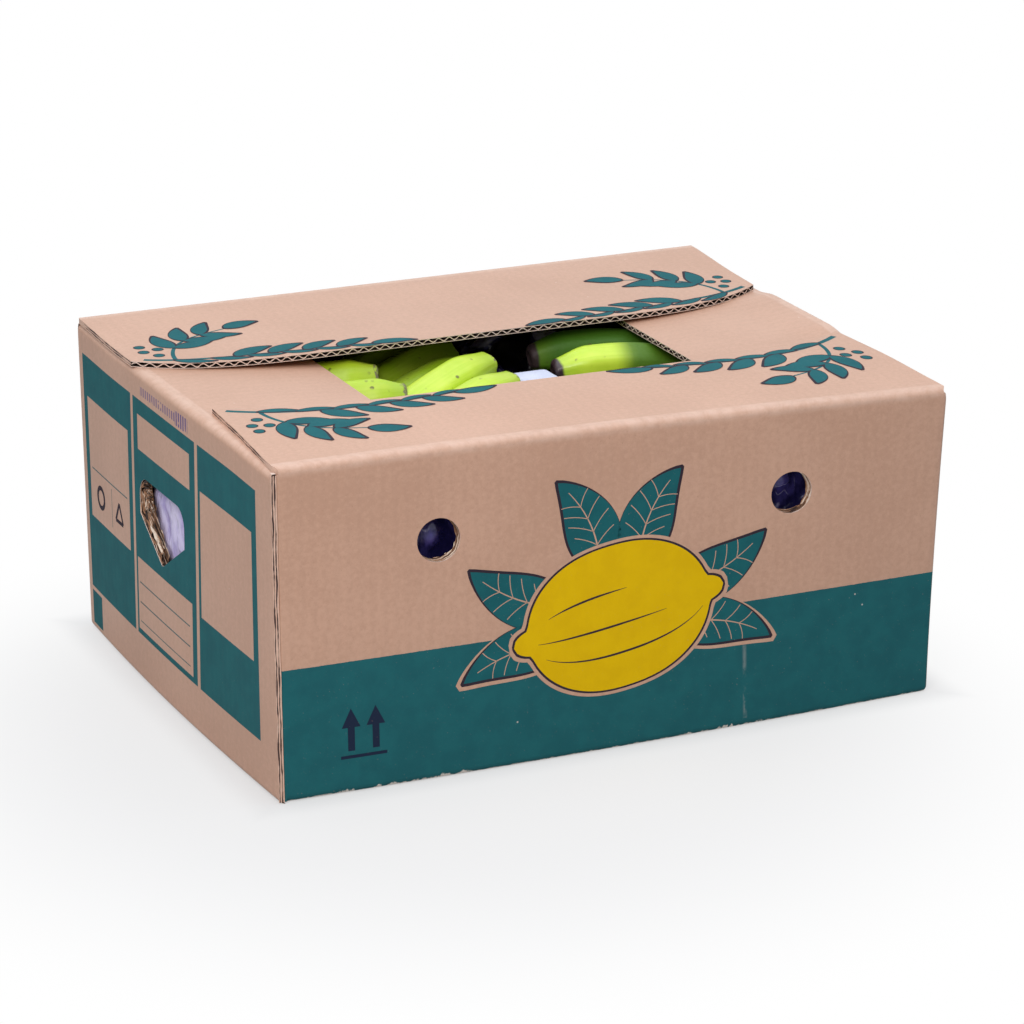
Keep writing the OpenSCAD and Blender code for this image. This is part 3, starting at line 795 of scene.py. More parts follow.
class Flap:
    """A top flap with the wall strip it folds from. side: 0 front, 1 right, 2 back, 3 left. a runs along
    the fold from a0 to a1, d inwards from the wall's outer face, h up."""

    def __init__(self, side, a0, a1, top, reach, bow=0.0, skew=0.0, flare=0.0, narrow=0.0, lift=0.0,
                 crest=0.0):
        self.side = side
        self.a0, self.a1 = a0, a1
        self.top, self.reach = top, reach
        self.bow, self.skew = bow, skew
        self.flare, self.narrow = flare, narrow
        self.lift, self.crest = lift, crest

    def edge(self, a):
        """Reach of the free edge: it bends by bow towards the ends with a high power."""
        return self.reach + self.bow * np.abs(a / BOW_HALF) ** BOW_POWER

    def rest(self, a, d, h):
        """Place before the warp: the ends flare just past the fold and narrow with the reach, the flap is
        skewed with the reach, its middle is lifted with the square of the reach, and its fold stands
        up by the crest near the middle."""
        a, d, h = np.broadcast_arrays(np.asarray(a, float), d, h)
        share = np.clip(d / self.reach, 0, 1.3)
        lifted = self.lift * share**2 * np.clip(1.1 - (a / 200) ** 2, 0, 1)
        near_middle = ease(np.abs(a - 6), 62.0, 38.0)
        crested = self.crest * ease(h, STRIP_Z, self.top) * ease(d, 45.0, 4.0) * near_middle
        wide = 1 + self.flare / self.a1 * ease(d, 0.5, 6.0) - self.narrow / self.a1 * share
        a = a * wide + self.skew * share
        plan = {0: (a, d - D / 2), 1: (W / 2 - d, a), 2: (-a, D / 2 - d), 3: (d - W / 2, -a)}[self.side]
        return np.stack([*plan, h + lifted + crested], -1)

    def sheet(self, a, h, d):
        """Place on the wall's print, above the wall on the flap itself."""
        a, h, d = np.broadcast_arrays(np.asarray(a, float), h, d)
        half = W / 2 if self.side % 2 == 0 else D / 2
        face = {0: 0.0, 1: 3.0, 2: 2.0, 3: 1.0}[self.side]
        return np.stack([a + half, np.where(d > FOLD, -d, H - h), np.full(a.shape, face)], -1)

    def rows(self, depth, edge):
        """Rows of the folded profile at a depth inside the outer face: up the wall, round the fold, and in
        along the flap to its edge."""
        up = np.linspace(STRIP_Z, self.top - FOLD, 4)
        turn = np.linspace(0, math.pi / 2, 9)[1:]
        share = np.linspace(0, 1, 17)[1:, None]
        d_bent = np.concatenate([np.full(len(up), depth), FOLD - (FOLD - depth) * np.cos(turn)])
        h_bent = np.concatenate([up, self.top - FOLD + (FOLD - depth) * np.sin(turn)])
        d_flat = FOLD + share * (edge[None] - FOLD)
        h_flat = np.full(d_flat.shape, self.top - depth)
        d = np.concatenate([np.repeat(d_bent[:, None], len(edge), 1), d_flat])
        h = np.concatenate([np.repeat(h_bent[:, None], len(edge), 1), h_flat])
        return d, h

    def build(self, b):
        """Outer and inner facings, the wave sheet between them as a sine of the flute length, and the cut
        edges: thin rims at the free edge and crushed strips at both ends."""
        a = np.linspace(self.a0, self.a1, int((self.a1 - self.a0) / 5) + 1)
        edge = self.edge(a)
        for depth, mat in ((0.0, OUTER), (BOARD, INNER)):
            d, h = self.rows(depth, edge)
            b.board(self.rest(a[None], d, h), mat, flip=mat == INNER, flute=a[None],
                    sheet=self.sheet(a[None], h, d))
        share = np.linspace(0, 1, 9)[:, None]
        inner_d = HOLLOW + share * (edge[None] - HOLLOW)
        for depth, flip in ((LINER, True), (BOARD - LINER, False)):
            b.board(self.rest(a[None], inner_d, self.top - depth), CORE, flip=flip, flute=a[None])
        for d0, d1 in ((0.0, LINER), (BOARD - LINER, BOARD)):
            rim = self.rest(a[None], edge[None], self.top - np.array([[d0], [d1]]))
            b.board(rim, RAW, flip=True, flute=a[None])
        # The wave sheet, with a ragged end
        fine = np.arange(self.a0 + 0.4, self.a1 - 0.4, FLUTE / 12)
        ragged = 0.35 + 0.3 * np.sin(fine * 1.7) * np.sin(fine * 0.31)
        wave_d = HOLLOW + share * (self.edge(fine) - ragged - HOLLOW)[None]
        swing = (BOARD / 2 - LINER - WAVE_HALF) * np.sin(fine * 2 * math.pi / FLUTE)
        ends = []
        for half, flip in ((WAVE_HALF, False), (-WAVE_HALF, True)):
            skin = self.rest(fine[None], wave_d, self.top - BOARD / 2 + (swing + half)[None])
            b.board(skin, CORE, flip=flip, flute=fine[None])
            ends.append(skin[-1])
        b.board(np.stack(ends), RAW, flute=fine[None])
        # Cut ends
        depths = np.linspace(0, BOARD, 5)
        for end, flip in ((self.a0, True), (self.a1, False)):
            d, h = zip(*[self.rows(depth, self.edge(np.array([end]))) for depth in depths])
            d, h = np.concatenate(d, 1), np.concatenate(h, 1)
            sheet = np.stack(np.broadcast_arrays(d, depths[None], 0.0), -1)
            b.board(self.rest(end, d, h), CRUSHED, flip=flip, flute=d, sheet=sheet)


FRONT = Flap(0, FRONT_X, W / 2 - CORNER, H, 101, bow=27, flare=3.0, narrow=7.0, lift=0.5)
BACK = Flap(2, -W / 2 + CORNER, W / 2 - CORNER, H, 148, bow=-34, skew=4, flare=3.0, narrow=4.0, lift=1.0)
RIGHT = Flap(1, -D / 2 + CORNER, D / 2 - CORNER, SIDE_TOP, 124, flare=-3.0, lift=-2.6, crest=3.0)
LEFT = Flap(3, -D / 2 + CORNER, D / 2 - CORNER, SIDE_TOP, 124, flare=-3.0, lift=-6.0)


def bend_front(obj):
    """Bakes the front flap's piece into its mesh at the origin."""
    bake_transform(obj)


def bend_back(obj):
    """Bakes the back flap's piece into its mesh at the origin."""
    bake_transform(obj)


# Printed ornaments: ribbons of ink just above the board

# Heights of a leaf's layers, and where a leaf is widest
HALO_H, OUTLINE_H, LEAF_H, VEIN_H = 0.04, 0.07, 0.1, 0.13
LEAF_PEAK = 0.42


def along(path):
    """Unit directions along a path of points in the plane."""
    step = np.gradient(path, axis=0)
    return step / np.linalg.norm(step, axis=1, keepdims=True)


def ribbon(path, half, cols=2):
    """A band along a path: at each point it spans half a width to both sides, square to the path."""
    ahead = along(path)
    side = np.stack([-ahead[:, 1], ahead[:, 0]], -1)
    share = np.linspace(-1, 1, cols)[None, :, None]
    return path[:, None] + side[:, None] * share * np.broadcast_to(half, len(path))[:, None, None]


def curve(start, end, bow, n=24):
    """A path from start to end that swings sideways by bow at its middle, as a parabola."""
    start, end = np.array(start, float), np.array(end, float)
    t = np.linspace(0, 1, n)[:, None]
    side = np.array([-(end - start)[1], (end - start)[0]]) / np.linalg.norm(end - start)
    return start + t * (end - start) + side * 4 * t * (1 - t) * bow


def leaf_half(n, width):
    """Half widths of a pointed leaf: a sine that peaks at a share of the length."""
    t = np.linspace(0, 1, n) ** (math.log(0.5) / math.log(LEAF_PEAK))
    return np.maximum(width / 2 * np.sin(math.pi * t) ** 0.85, 0.0)


def leaf(start, end, width, bow, veins=True, halo=True):
    """A leaf with a dark outline: layers of ribbons as (points, ink, height above the board)."""
    spine = curve(start, end, bow)
    ahead, n = along(spine), len(spine)
    half = leaf_half(n, width)

    def longer(before, after):
        """The leaf's middle line, drawn out at both ends."""
        return curve(start - ahead[0] * before, end + ahead[-1] * after, bow)

    layers = [(ribbon(longer(1.2, 2.2), half + 1.0, 5), "dark", OUTLINE_H),
              (ribbon(spine, half, 5), "teal", LEAF_H)]
    if halo:
        layers.insert(0, (ribbon(longer(3, 5), half + 2.4, 5), "bare", HALO_H))
    if veins:
        layers.append((ribbon(spine[1:-3], np.linspace(0.7, 0.25, n - 4)), "bare", VEIN_H))
        for i in range(4, n - 5, 3):
            for way in (-1, 1):
                side = way * np.array([-ahead[i, 1], ahead[i, 0]])
                out = spine[i] + side * half[i] * 0.8 + ahead[i] * half[i] * 0.55
                layers.append((ribbon(curve(spine[i], out, -way * 0.8, 6), 0.28), "bare", VEIN_H))
    return layers


def citrus():
    """The front's picture: a yellow citrus on two fans of three leaves, mirrored about its middle."""
    middle = np.array([241.0, 131.0])
    layers = []
    for way in (-1, 1):
        flip = np.array([way, 1])
        for start, end, width, bow in (((30, 18), (112, 34), 33, -9), ((30, -8), (106, -42), 36, 8),
                                       ((14, -24), (44, -95), 38, -9)):
            layers += leaf(middle + flip * start, middle + flip * end, width, way * bow)
    long_half, high_half, tip_half = 77, 50, 9.5
    x = np.linspace(-long_half, long_half, 90)
    body = high_half * np.sqrt(np.clip(1 - (np.abs(x) / 66) ** 2.3, 0, 1))
    tip = tip_half * np.sqrt(np.clip(1 - ((np.abs(x) - 60) / 17) ** 2, 0, 1)) * (np.abs(x) > 40)
    half = (body**3 + tip**3) ** (1 / 3)
    tilt = math.radians(-9)
    turn = np.array([[math.cos(tilt), math.sin(tilt)], [-math.sin(tilt), math.cos(tilt)]])

    def lay(points):
        """Points of the fruit, tilted and set over the leaves."""
        return points @ turn + middle + [0, 3]

    axis = np.stack([x, 0 * x], -1)
    for grow, ink, height in ((3.4, "bare", 0.15), (1.3, "dark", 0.18), (0.0, "yellow", 0.21)):
        stretch = np.array([1 + grow / long_half, 1.0])
        layers.append((lay(ribbon(axis * stretch, half + grow, 17)), ink, height))
    for share, x0, x1 in ((0.52, -56, 60), (0.12, -60, 34), (-0.36, -50, 8)):
        xs = np.linspace(x0, x1, 40)
        line = np.stack([xs, share * np.interp(xs, x, body)], -1)
        layers.append((lay(ribbon(line, 0.75 * np.sin(np.linspace(0.15, math.pi - 0.15, 40)))), "dark", 0.24))
    return layers


MARK_H = 0.06


def arrows():
    """The handling mark: two plain arrows that point up, on a line."""
    layers = [(ribbon(curve((43, 203), (75, 203), 0, 6), 1.1), "mark", MARK_H)]
    for u in (50.5, 67.5):
        layers.append((ribbon(curve((u, 199), (u, 182), 0, 5), 2.4), "mark", MARK_H))
        layers.append((ribbon(curve((u, 183), (u, 170), 0, 7), np.linspace(6.5, 0.05, 7)), "mark", MARK_H))
    return layers


def side_marks():
    """Small marks on a short wall's first label: a ring and a triangle."""
    a = np.linspace(0, 2 * math.pi, 40)
    ring = np.stack([40 + 7.2 * np.cos(a), 120 + 7.2 * np.sin(a)], -1)
    layers = [(ribbon(ring, 1.7), "dark", MARK_H)]
    third = np.arange(4) * 2.0944
    corners = np.stack([80 + 9 * np.sin(third), 121 - 9 * np.cos(third)], -1)
    for p, q in zip(corners[:-1], corners[1:]):
        layers.append((ribbon(curve(p, q, 0, 6), 1.4), "dark", MARK_H))
    return layers


def wall_place(side):
    """From a wall's print to the rest place and the flute place, at a height above the board."""

    def place(uv, height):
        u, z = uv[..., 0], H - uv[..., 1]
        out = 0 * u + height
        x, y = {0: (u - W / 2, -D / 2 - out), 1: (W / 2 + out, u - D / 2), 2: (W / 2 - u, D / 2 + out),
                3: (-W / 2 - out, D / 2 - u)}[side]
        return np.stack([x, y, z], -1), x if side % 2 == 0 else y

    return place


def flap_place(flap):
    """From a flap's length and reach to the rest place and the flute place, at a height above the board."""

    def place(ad, height):
        return flap.rest(ad[..., 0], ad[..., 1], flap.top + height), ad[..., 0]

    return place


def ink_piece(name, jobs):
    """One piece from jobs of (layers, place)."""
    b, names = Build(), list(INKS)
    for layers, place in jobs:
        for points, ink, height in layers:
            rest, flute = place(points, height)
            b.board(rest, names.index(ink), flute=flute)
    return b.make(name, [INKS[n] for n in names])


def dot(middle, r):
    """A filled circle as a ribbon: half chords along its diameter."""
    x = np.linspace(-1, 1, 18)
    path = np.array(middle) + np.stack([x * r, 0 * x], -1)
    return ribbon(path, r * np.sqrt(np.clip(1 - x * x, 0, 1)), 3)


def sprig(flap, way):
    """A leafy sprig at one end of a flap: a stem along the free edge with leaves on both sides, and a
    branch with berries that curls back towards the fold."""
    layers = []
    far, near, fork, leaf_step = 228, 70, 208, 0.004
    a = np.linspace(far, near, 60)
    stem = np.stack([a, flap.edge(a) - 5.5 - 6 * np.sin((far - a) / (far - near) * math.pi)], -1)
    turn = np.linspace(0, 1, 40)
    swing = np.sin(turn * math.pi)
    start = np.array([fork, np.interp(fork, a[::-1], stem[::-1, 1])])
    branch = start + np.stack([-58 * turn**1.3 + 6 * swing, -58 * turn - 10 * swing], -1)

    def put(path, i, side, tilt, length, width):
        """A leaf on one side of a path, turned away from it by a tilt and laid over the leaves before it."""
        ahead = along(path)[i]
        c, s = math.cos(tilt * side), math.sin(tilt * side)
        way_out = np.array([ahead[0] * c - ahead[1] * s, ahead[0] * s + ahead[1] * c])
        made = leaf(path[i], path[i] + way_out * length, width, 2.2 * side, False, False)
        layers.extend((points, ink, height + leaf_step * len(layers)) for points, ink, height in made)

    layers.append((ribbon(stem, np.linspace(2.0, 0.6, len(stem))), "teal", HALO_H))
    layers.append((ribbon(branch, np.linspace(1.6, 0.6, len(branch))), "teal", HALO_H))
    for i in range(4, 55, 9):
        shrink = 1 - 0.35 * i / 60
        if i > 16:
            put(stem, i, 1, 0.55, 36 * shrink, 15 * shrink)
        put(stem, i + 3, -1, 0.16, 28 * shrink, 7 * shrink)
    put(stem, 58, 1, 0.0, 30, 10)
    for i in (13, 21, 29):
        shrink = 1 - 0.3 * i / 40
        put(branch, i, 1, 0.7, 34 * shrink, 14 * shrink)
        put(branch, i, -1, 0.75, 34 * shrink, 14 * shrink)
    put(branch, 38, 1, 0.0, 26, 13)
    for u, v in ((7, -15), (14, -26), (3, -29), (13, -38)):
        layers.append((dot(start + [u, v], 4.2), "dark", 0.05))
        layers.append((dot(start + [u, v], 3.3), "teal", 0.08))
    return [(points[:, ::-way] * [way, 1], ink, height) for points, ink, height in layers]


# Fruit: distance from a crown's cut back to the fingers' roots, and the crown's radius
SEAT = 14.12
CROWN_R = 18.0


def aim(turn, climb):
    """Direction from a turn round the vertical and a climb above the horizontal."""
    return np.stack([np.cos(climb) * np.cos(turn), np.cos(climb) * np.sin(turn), np.sin(climb)], -1)


def finger(b, root, turn, climb, bend, length, size, side, dark, deep, seed):
    """One banana: a five-ridged section swept along an arc whose climb falls evenly by bend from root to
    tip. The radius rises from the stalk, tapers a little before the tip and ends in a blunt scar. deep is
    a pair: how far the skin turns deep green at the tip and at the root, partly greener skin and partly
    painted shade."""
    rng = np.random.default_rng(seed)
    s = np.concatenate([np.linspace(0, 0.84, 36), np.linspace(0.855, 1, 16)])
    fine = np.linspace(0, 1, 400)
    path = np.cumsum(aim(turn, climb + bend * (0.5 - fine)), 0) * length / len(fine)
    path -= path[0]
    spine = np.stack([np.interp(s, fine, path[:, i]) for i in range(3)], -1)
    radius = size / 2 * (0.42 + 0.58 * ease(s, 0.09, 0.3)) * (1 - 0.06 * ease(s, 0.6, 0.86))
    radius *= 1 - 0.38 * ease(s, 0.86, 1.02)
    theta = np.linspace(0, 2 * math.pi, 30, endpoint=False)
    phase = rng.uniform(0, 2 * math.pi)
    wave = 0.042 * np.cos(5 * theta + phase) + 0.014 * np.cos(10 * theta + 2 * phase)
    ridge = 1 + wave[None] * ease(s, 0.1, 0.3)[:, None]
    across = np.array([-math.sin(turn), math.cos(turn), 0])
    up = aim(turn, climb + bend * (0.5 - s) + math.pi / 2)
    ring = radius[:, None, None] * ridge[..., None] * (np.cos(theta)[None, :, None] * across
                                                       + np.sin(theta)[None, :, None] * up[:, None])
    skin = spine[:, None] + ring
    # Blunt end: a rounded shoulder, a rim, and the scar lying a little inside it
    ahead = aim(turn, climb - bend / 2)
    nick = 1 + 0.05 * np.sin(3 * theta + phase) + 0.04 * np.sin(7 * theta)
    close = [(0.95, 1.1), (0.84, 2.3), (0.7, 2.9), (0.62, 2.7), (0.56, 1.9), (0.3, 1.5), (0.0, 1.7)]
    caps = [spine[-1] + ring[-1] * share * nick[:, None] + ahead * out for share, out in close]
    points = np.concatenate([skin, np.stack(caps)]) * [side, 1, 1] + root
    s_all = np.concatenate([s, 1 + 0.01 * np.arange(1, len(close) + 1)])
    green = deep[1] + (deep[0] - deep[1]) * ease(s_all, 0.68, 0.78)
    b.grid(points, 0, flip=side < 0, closed=True, along=s_all[:, None], round=theta[None] / (2 * math.pi),
           seed=rng.uniform(), scar=float(dark), deep=green[:, None])


def crown(b, back, y, z, count, pitch, size, side):
    """The crown of a hand: a round bar with a lobe behind each finger, cut flat at the back."""
    half = (count - 1) * pitch / 2 + 0.35 * size
    t = np.linspace(-1, 1, 14 * count)
    lobe = 0.88 + 0.12 * np.cos(2 * math.pi * (t * half + (count - 1) * pitch / 2) / pitch)
    r = CROWN_R * lobe * np.sqrt(np.clip(1 - np.abs(t) ** 9, 0.0, 1))
    theta = np.linspace(0, 2 * math.pi, 24, endpoint=False)
    x = np.maximum(SEAT + r[:, None] * np.cos(theta)[None], 0.15)
    width, height = np.broadcast_to((t * half)[:, None], x.shape), r[:, None] * np.sin(theta)[None]
    points = np.stack([side * x, width, height], -1) + [back, y, z]
    b.grid(points, 0, flip=side > 0, closed=True, along=np.where(x < 1, -0.1, 0.02),
           round=theta[None] / (2 * math.pi), seed=0.5, scar=0.0, deep=0.5)


def fruit_skin(g):
    """Unripe skin: yellow green with paler streaks along the ridges, a deep green that is partly greener skin
    and partly painted shade, greener ends, brown dots and rubs, and a grey or dark scar at the tip."""
    along_s, turn, seed = (g.attribute(n)["Fac"] for n in ("along", "round", "seed"))
    scar, deep = g.attribute("scar")["Fac"], g.attribute("deep")["Fac"]
    rest = g.node("ShaderNodeTexCoord").outputs["Object"]
    cloud, grain = g.noise(rest, 30.0, 3.0), g.noise(rest, 420.0, 3.0, 0.65)
    lane = g.vector(X=g.mul(turn, 40.0), Y=g.mul(along_s, 4.0), Z=g.mul(seed, 9.0))
    streak = g.noise(lane, 1.0, 3.0)
    ends = g.top(g.span(along_s, 0.3, 0.06), g.mul(g.span(along_s, 0.9, 1.0), 0.6))
    light = g.span(g.plus(g.mul(cloud, 0.7), g.mul(streak, 0.4)), 0.35, 0.8)
    color = g.mix(light, SKIN_LOW, SKIN_HIGH)
    # Deep green paints shade on the back hands and the shaded fingers, and makes some fingers greener
    color = g.mix(g.plus(g.mul(seed, 0.16), g.mul(deep, 0.93)), color, SKIN_GREEN_SHADE)
    color = g.mix(g.mul(ends, 0.5), color, SKIN_END)
    dots = g.span(g.spots(rest, 130.0), 0.26, 0.14)
    dots = g.mul(dots, g.span(g.noise(rest, 55.0, 2.0), 0.52, 0.62))
    rub = g.span(g.noise(rest, 80.0, 5.0, 0.75), 0.66, 0.7)
    color = g.mix(g.mul(dots, 0.8), color, SKIN_DOT)
    color = g.mix(g.mul(rub, 0.5), color, SKIN_RUB)
    frayed = g.plus(along_s, g.mul(g.minus(grain, 0.5), 0.09))
    rim = g.mul(g.span(frayed, 0.998, 1.015), g.span(grain, 0.3, 0.6, 0.7, 1.0))
    dark = g.mul(g.span(g.plus(along_s, g.mul(cloud, 0.04)), 1.0, 1.015), scar)
    color = g.mix(g.top(rim, dark), color, g.mix(scar, SCAR_PALE, SCAR_DARK))
    color = g.mix(g.span(along_s, 0.0, -0.06), color, CROWN_CUT)
    height = g.plus(g.mul(grain, 0.4), g.mul(streak, 0.6))
    rough = g.plus(g.span(grain, 0.2, 0.8, 0.3, 0.44), g.mul(deep, 0.3))
    return {"Base Color": color, "Height": height, "Roughness": rough}


# A hand: place of its crown's cut back, number and pitch of the fingers, their length and thickness, their
# turn, climb and bend in degrees, the way they point along x, whether their tips are dark, and the last
# one's share of the length
Hand = namedtuple("Hand", "back y z count pitch length size turn climb bend side dark last")
# Deep green of each finger at its tip and root, partly greener skin and partly painted shade, and fingers
# that lie a little steeper than their hand
GREEN_AND_SHADE = {"hand_right_top": [(0.0, 1.0), (1.0, 1.0), (1.0, 1.0)],
          "hand_left_top": [(0.2, 0.2), (0.05, 0.05)]}
STEEPER = {"hand_left_front_high": [0.0, 2.4, 3.5]}


def chord(bend):
    """Share of an arc's length that lies between its ends, for a bend in degrees."""
    half = math.radians(bend / 2)
    return math.sin(half) / half


def hand_places():
    """Every hand at its CAD place. The reach of the fingers between their seat and the divider pad, or the
    window's end, gives their length."""
    rad = math.radians
    left_back, right_back, top_back = -199.4, 221.7, -221.7
    size, top_size, spacing = 33.0, 30.0, 34.0
    left_turn, left_climb, right_turn, right_climb, bend = 25, 20, 8, 12, 36
    divider_x, divider_half, clear = 28.0, 17.0, 1
    window_x, left_past, right_past = 116, 41, 66
    left_y, right_y, low_z = -139.0, -149.95, 27.3
    high_drop, left_top_drop, right_top_drop = 33, 24, 28
    tip = size / 2 * 0.56
    left_reach = divider_x - divider_half - clear - tip * math.sin(rad(left_turn)) - left_back - SEAT
    right_reach = right_back - SEAT - (divider_x + divider_half + clear + tip * math.sin(rad(right_turn)))
    left_len = left_reach / (math.cos(rad(left_turn)) * math.cos(rad(left_climb)) * chord(bend))
    right_len = right_reach / (math.cos(rad(right_turn)) * math.cos(rad(right_climb)) * chord(bend))
    high_z = H - high_drop - left_len * math.sin(rad(left_climb)) * chord(bend)
    left_pitch, right_pitch = spacing / math.cos(rad(left_turn)), spacing / math.cos(rad(right_turn))
    places = {}
    for layer, name in enumerate(("low", "middle", "high")):
        z = low_z + layer * (high_z - low_z) / 2
        for row, end in enumerate(("front", "back")):
            y = left_y + (1 + row * 3) * left_pitch
            places[f"hand_left_{end}_{name}"] = Hand(left_back, y, z, 3, left_pitch, left_len, size,
                                                     left_turn, left_climb, bend, 1, 0, 1)
            y = right_y + (1.5 + row * 4) * right_pitch
            places[f"hand_right_{end}_{name}"] = Hand(right_back, y, z, 4, right_pitch, right_len, size,
                                                      right_turn, right_climb, bend, -1, 1, 1)
    turn, climb, bend = 18, 10, 16
    span = (-window_x + left_past - top_back - SEAT) / (math.cos(rad(turn)) * math.cos(rad(climb)))
    z = H - left_top_drop - span * math.sin(rad(climb))
    places["hand_left_top"] = Hand(top_back, 60.0, z, 2, 50.0, span / chord(bend), top_size,
                                   -turn, climb, bend, 1, 0, 1)
    turn, climb, bend = 8, 16, 50
    span = (right_back - SEAT - window_x + right_past) / (math.cos(rad(turn)) * math.cos(rad(climb)))
    z = H - right_top_drop - span * math.sin(rad(climb))
    places["hand_right_top"] = Hand(right_back, 30.0, z, 3, 40.0, span / chord(bend), top_size,
                                    turn, climb, bend, -1, 1, 0.62)
    return places


def hands():
    """Every hand of bananas: a crown and its fingers, one beside the other."""
    skin = material("green_skin", fruit_skin)
    rad = math.radians
    for n, (name, hand) in enumerate(hand_places().items()):
        # Back hands are half deep green: partly greener skin, partly painted shade
        plain = 0.5 if "back" in name else 0.0
        deep = GREEN_AND_SHADE.get(name, [(plain, plain)] * hand.count)
        steeper = STEEPER.get(name, [0.0] * hand.count)
        b = Build()
        crown(b, hand.back, hand.y, hand.z, hand.count, hand.pitch, hand.size, hand.side)
        for j in range(hand.count):
            y = hand.y + (j - (hand.count - 1) / 2) * hand.pitch
            root = np.array([hand.back + hand.side * SEAT, y, hand.z])
            reach = hand.length * (hand.last if j == hand.count - 1 else 1)
            finger(b, root, rad(hand.turn), rad(hand.climb + steeper[j]), rad(hand.bend), reach, hand.size,
                   hand.side, hand.dark, deep[j], 100 * n + j)
        obj = b.make(name + "_skin", [skin])
        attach(obj, "carton")
        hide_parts(name)


# Packing


def film_shading(g):
    """Thin film with painted light and shade: dark violet where it lies over the shaded fruit, black painted
    shade where the pale value is below nought, pale lavender painted light where it is above, and painted
    highlight streaks on its creases."""
    rest, pale = g.attribute("rest")["Vector"], g.attribute("pale")["Fac"]
    drawn = g.scale(rest, (1.0, 1.0, 0.6))
    crease = g.noise(drawn, 0.06, 5.0, 0.6)
    ridge = g.off(g.noise(drawn, 0.07, 1.0), 0.5)
    streak = g.mul(g.span(ridge, 0.02, 0.0), g.span(crease, 0.48, 0.62))
    color = g.mix(g.span(crease, 0.38, 0.66), FILM_LOW, FILM_HIGH)
    # Painted highlights along the creases
    color = g.mix(g.mul(streak, 0.6), color, FILM_HIGHLIGHT)
    # Black painted shade where the pale value is below nought
    color = g.mix(g.span(pale, 0.0, -1.0), color, FILM_SHADE)
    lit_film = g.mix(g.span(crease, 0.3, 0.6), FILM_LIT_LOW, FILM_LIT_HIGH)
    height = g.plus(crease, g.mul(g.span(ridge, 0.06, 0.0), 0.15))
    return {"Base Color": g.mix(g.span(pale, 0.0, 1.0), color, lit_film), "Height": height, "depth": 0.003}


def liner_film():
    """The liner bag: a rounded rectangle of film round the fruit, crinkled by ridged noise, swelling into
    the left hand hole and bulging in a ring of slack behind each air hole, with a ragged rim that leans
    inwards, a flat bottom, and a billow over the fruit."""
    half_x, half_y, r, cols, rows = 223.0, 175.5, 14.0, 420, 60
    foot, top = 8.5, 190.0
    in_x, in_y, quarter = half_x - r, half_y - r, math.pi / 2 * r
    starts = np.concatenate([[0], np.cumsum([2 * in_x, quarter, 2 * in_y, quarter] * 2)])
    origins = np.array([(-in_x, -half_y), (in_x, -in_y), (half_x, -in_y), (in_x, in_y), (in_x, half_y),
                        (-in_x, in_y), (-half_x, in_y), (-in_x, -in_y)])
    plan, out = follow(starts, origins, r, np.linspace(0, starts[-1], cols, endpoint=False))
    rough = noise_field(cols, rows, (70, 12), 3) * 0.6 + noise_field(cols, rows, (190, 26), 4) * 0.4
    crinkle = (1 - 2 * np.abs(rough)) * 1.5
    rim = top + 5 * noise_field(cols, 2, (34, 3), 5)[:, 0] + 2 * noise_field(cols, 2, (90, 3), 6)[:, 0]
    share = np.linspace(0, 1, rows)[None]
    z = foot + share * (rim[:, None] - foot)
    lean = ease(share, 0.86, 1.0) ** 2 * (5 + 5 * noise_field(cols, rows, (40, 6), 8))
    swell = 14 * np.exp(-((plan[:, 1:] - 20) / 44) ** 6 - ((z - 122) / 34) ** 6)
    swell *= plan[:, :1] < -half_x + 6
    from_vent = np.hypot(np.abs(plan[:, :1]) - VENT_X, z - VENT_Z)
    dent = 9 * np.exp(-((from_vent / 26) ** 4)) - 8.5 * np.exp(-((from_vent / 13) ** 2))
    dent *= np.abs(plan[:, 1:]) > half_y - 6
    push = crinkle - 0.6 - np.maximum(lean, 0) + swell - dent
    xy = plan[:, None] + out[:, None] * push[..., None]
    points = np.concatenate([xy, z[..., None]], -1).swapaxes(0, 1)
    b = Build()
    # The film at the left wall is painted pale lavender as lit at the hand hole
    b.grid(points, 0, closed=True, rest=points, pale=ease(-points[..., 0], 208.0, 216.0))
    gx, gy = np.meshgrid(np.linspace(-half_x + 2, half_x - 2, 30), np.linspace(-half_y + 2, half_y - 2, 24))
    base = np.stack([gx, gy, gx * 0 + foot + 0.1], -1)
    b.grid(base, 0, flip=True, rest=base, pale=0.0)
    # The rim's slack, drawn in over the fruit at the back right
    n = 90
    u, v = np.meshgrid(np.linspace(-1, 1, n), np.linspace(0, 1, n), indexing="ij")
    fold, crumple = noise_field(n, n, (5, 6), 13), noise_field(n, n, (13, 12), 14)
    sag = np.maximum(np.abs(u) ** 3, ease(v, 0.62, 1.0) ** 1.5)
    lift = 8 * ease(v, 0, 0.5) + (3 * fold + 1.2 * crumple) * ease(v, 0.1, 0.4) - 24 * sag
    drape = np.stack([74 + (44 + 8 * fold) * u, half_y - 3 - (84 + 6 * fold) * v, top + lift], -1)
    # The slack is painted pale where it is lit and black where it lies in shade
    b.grid(drape, 0, rest=drape, pale=1.5 * ease(fold + 0.4 * crumple, 0.1, 0.9) - 0.9)
    obj = b.make("liner_film", [material("liner_film", film_shading, Roughness=0.22)])
    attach(obj, "carton")
    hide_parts("liner_bag")


def foam_shading(g):
    """White foam: small cells and faint clouds."""
    place = g.node("ShaderNodeTexCoord").outputs["Object"]
    cells, cloud = g.spots(place, 420.0), g.noise(place, 30.0, 2.0)
    color = g.mix(g.span(cloud, 0.3, 0.7), FOAM_LOW, FOAM_HIGH)
    return {"Base Color": color, "Height": g.plus(g.mul(cells, 0.4), cloud), "depth": 0.0015}


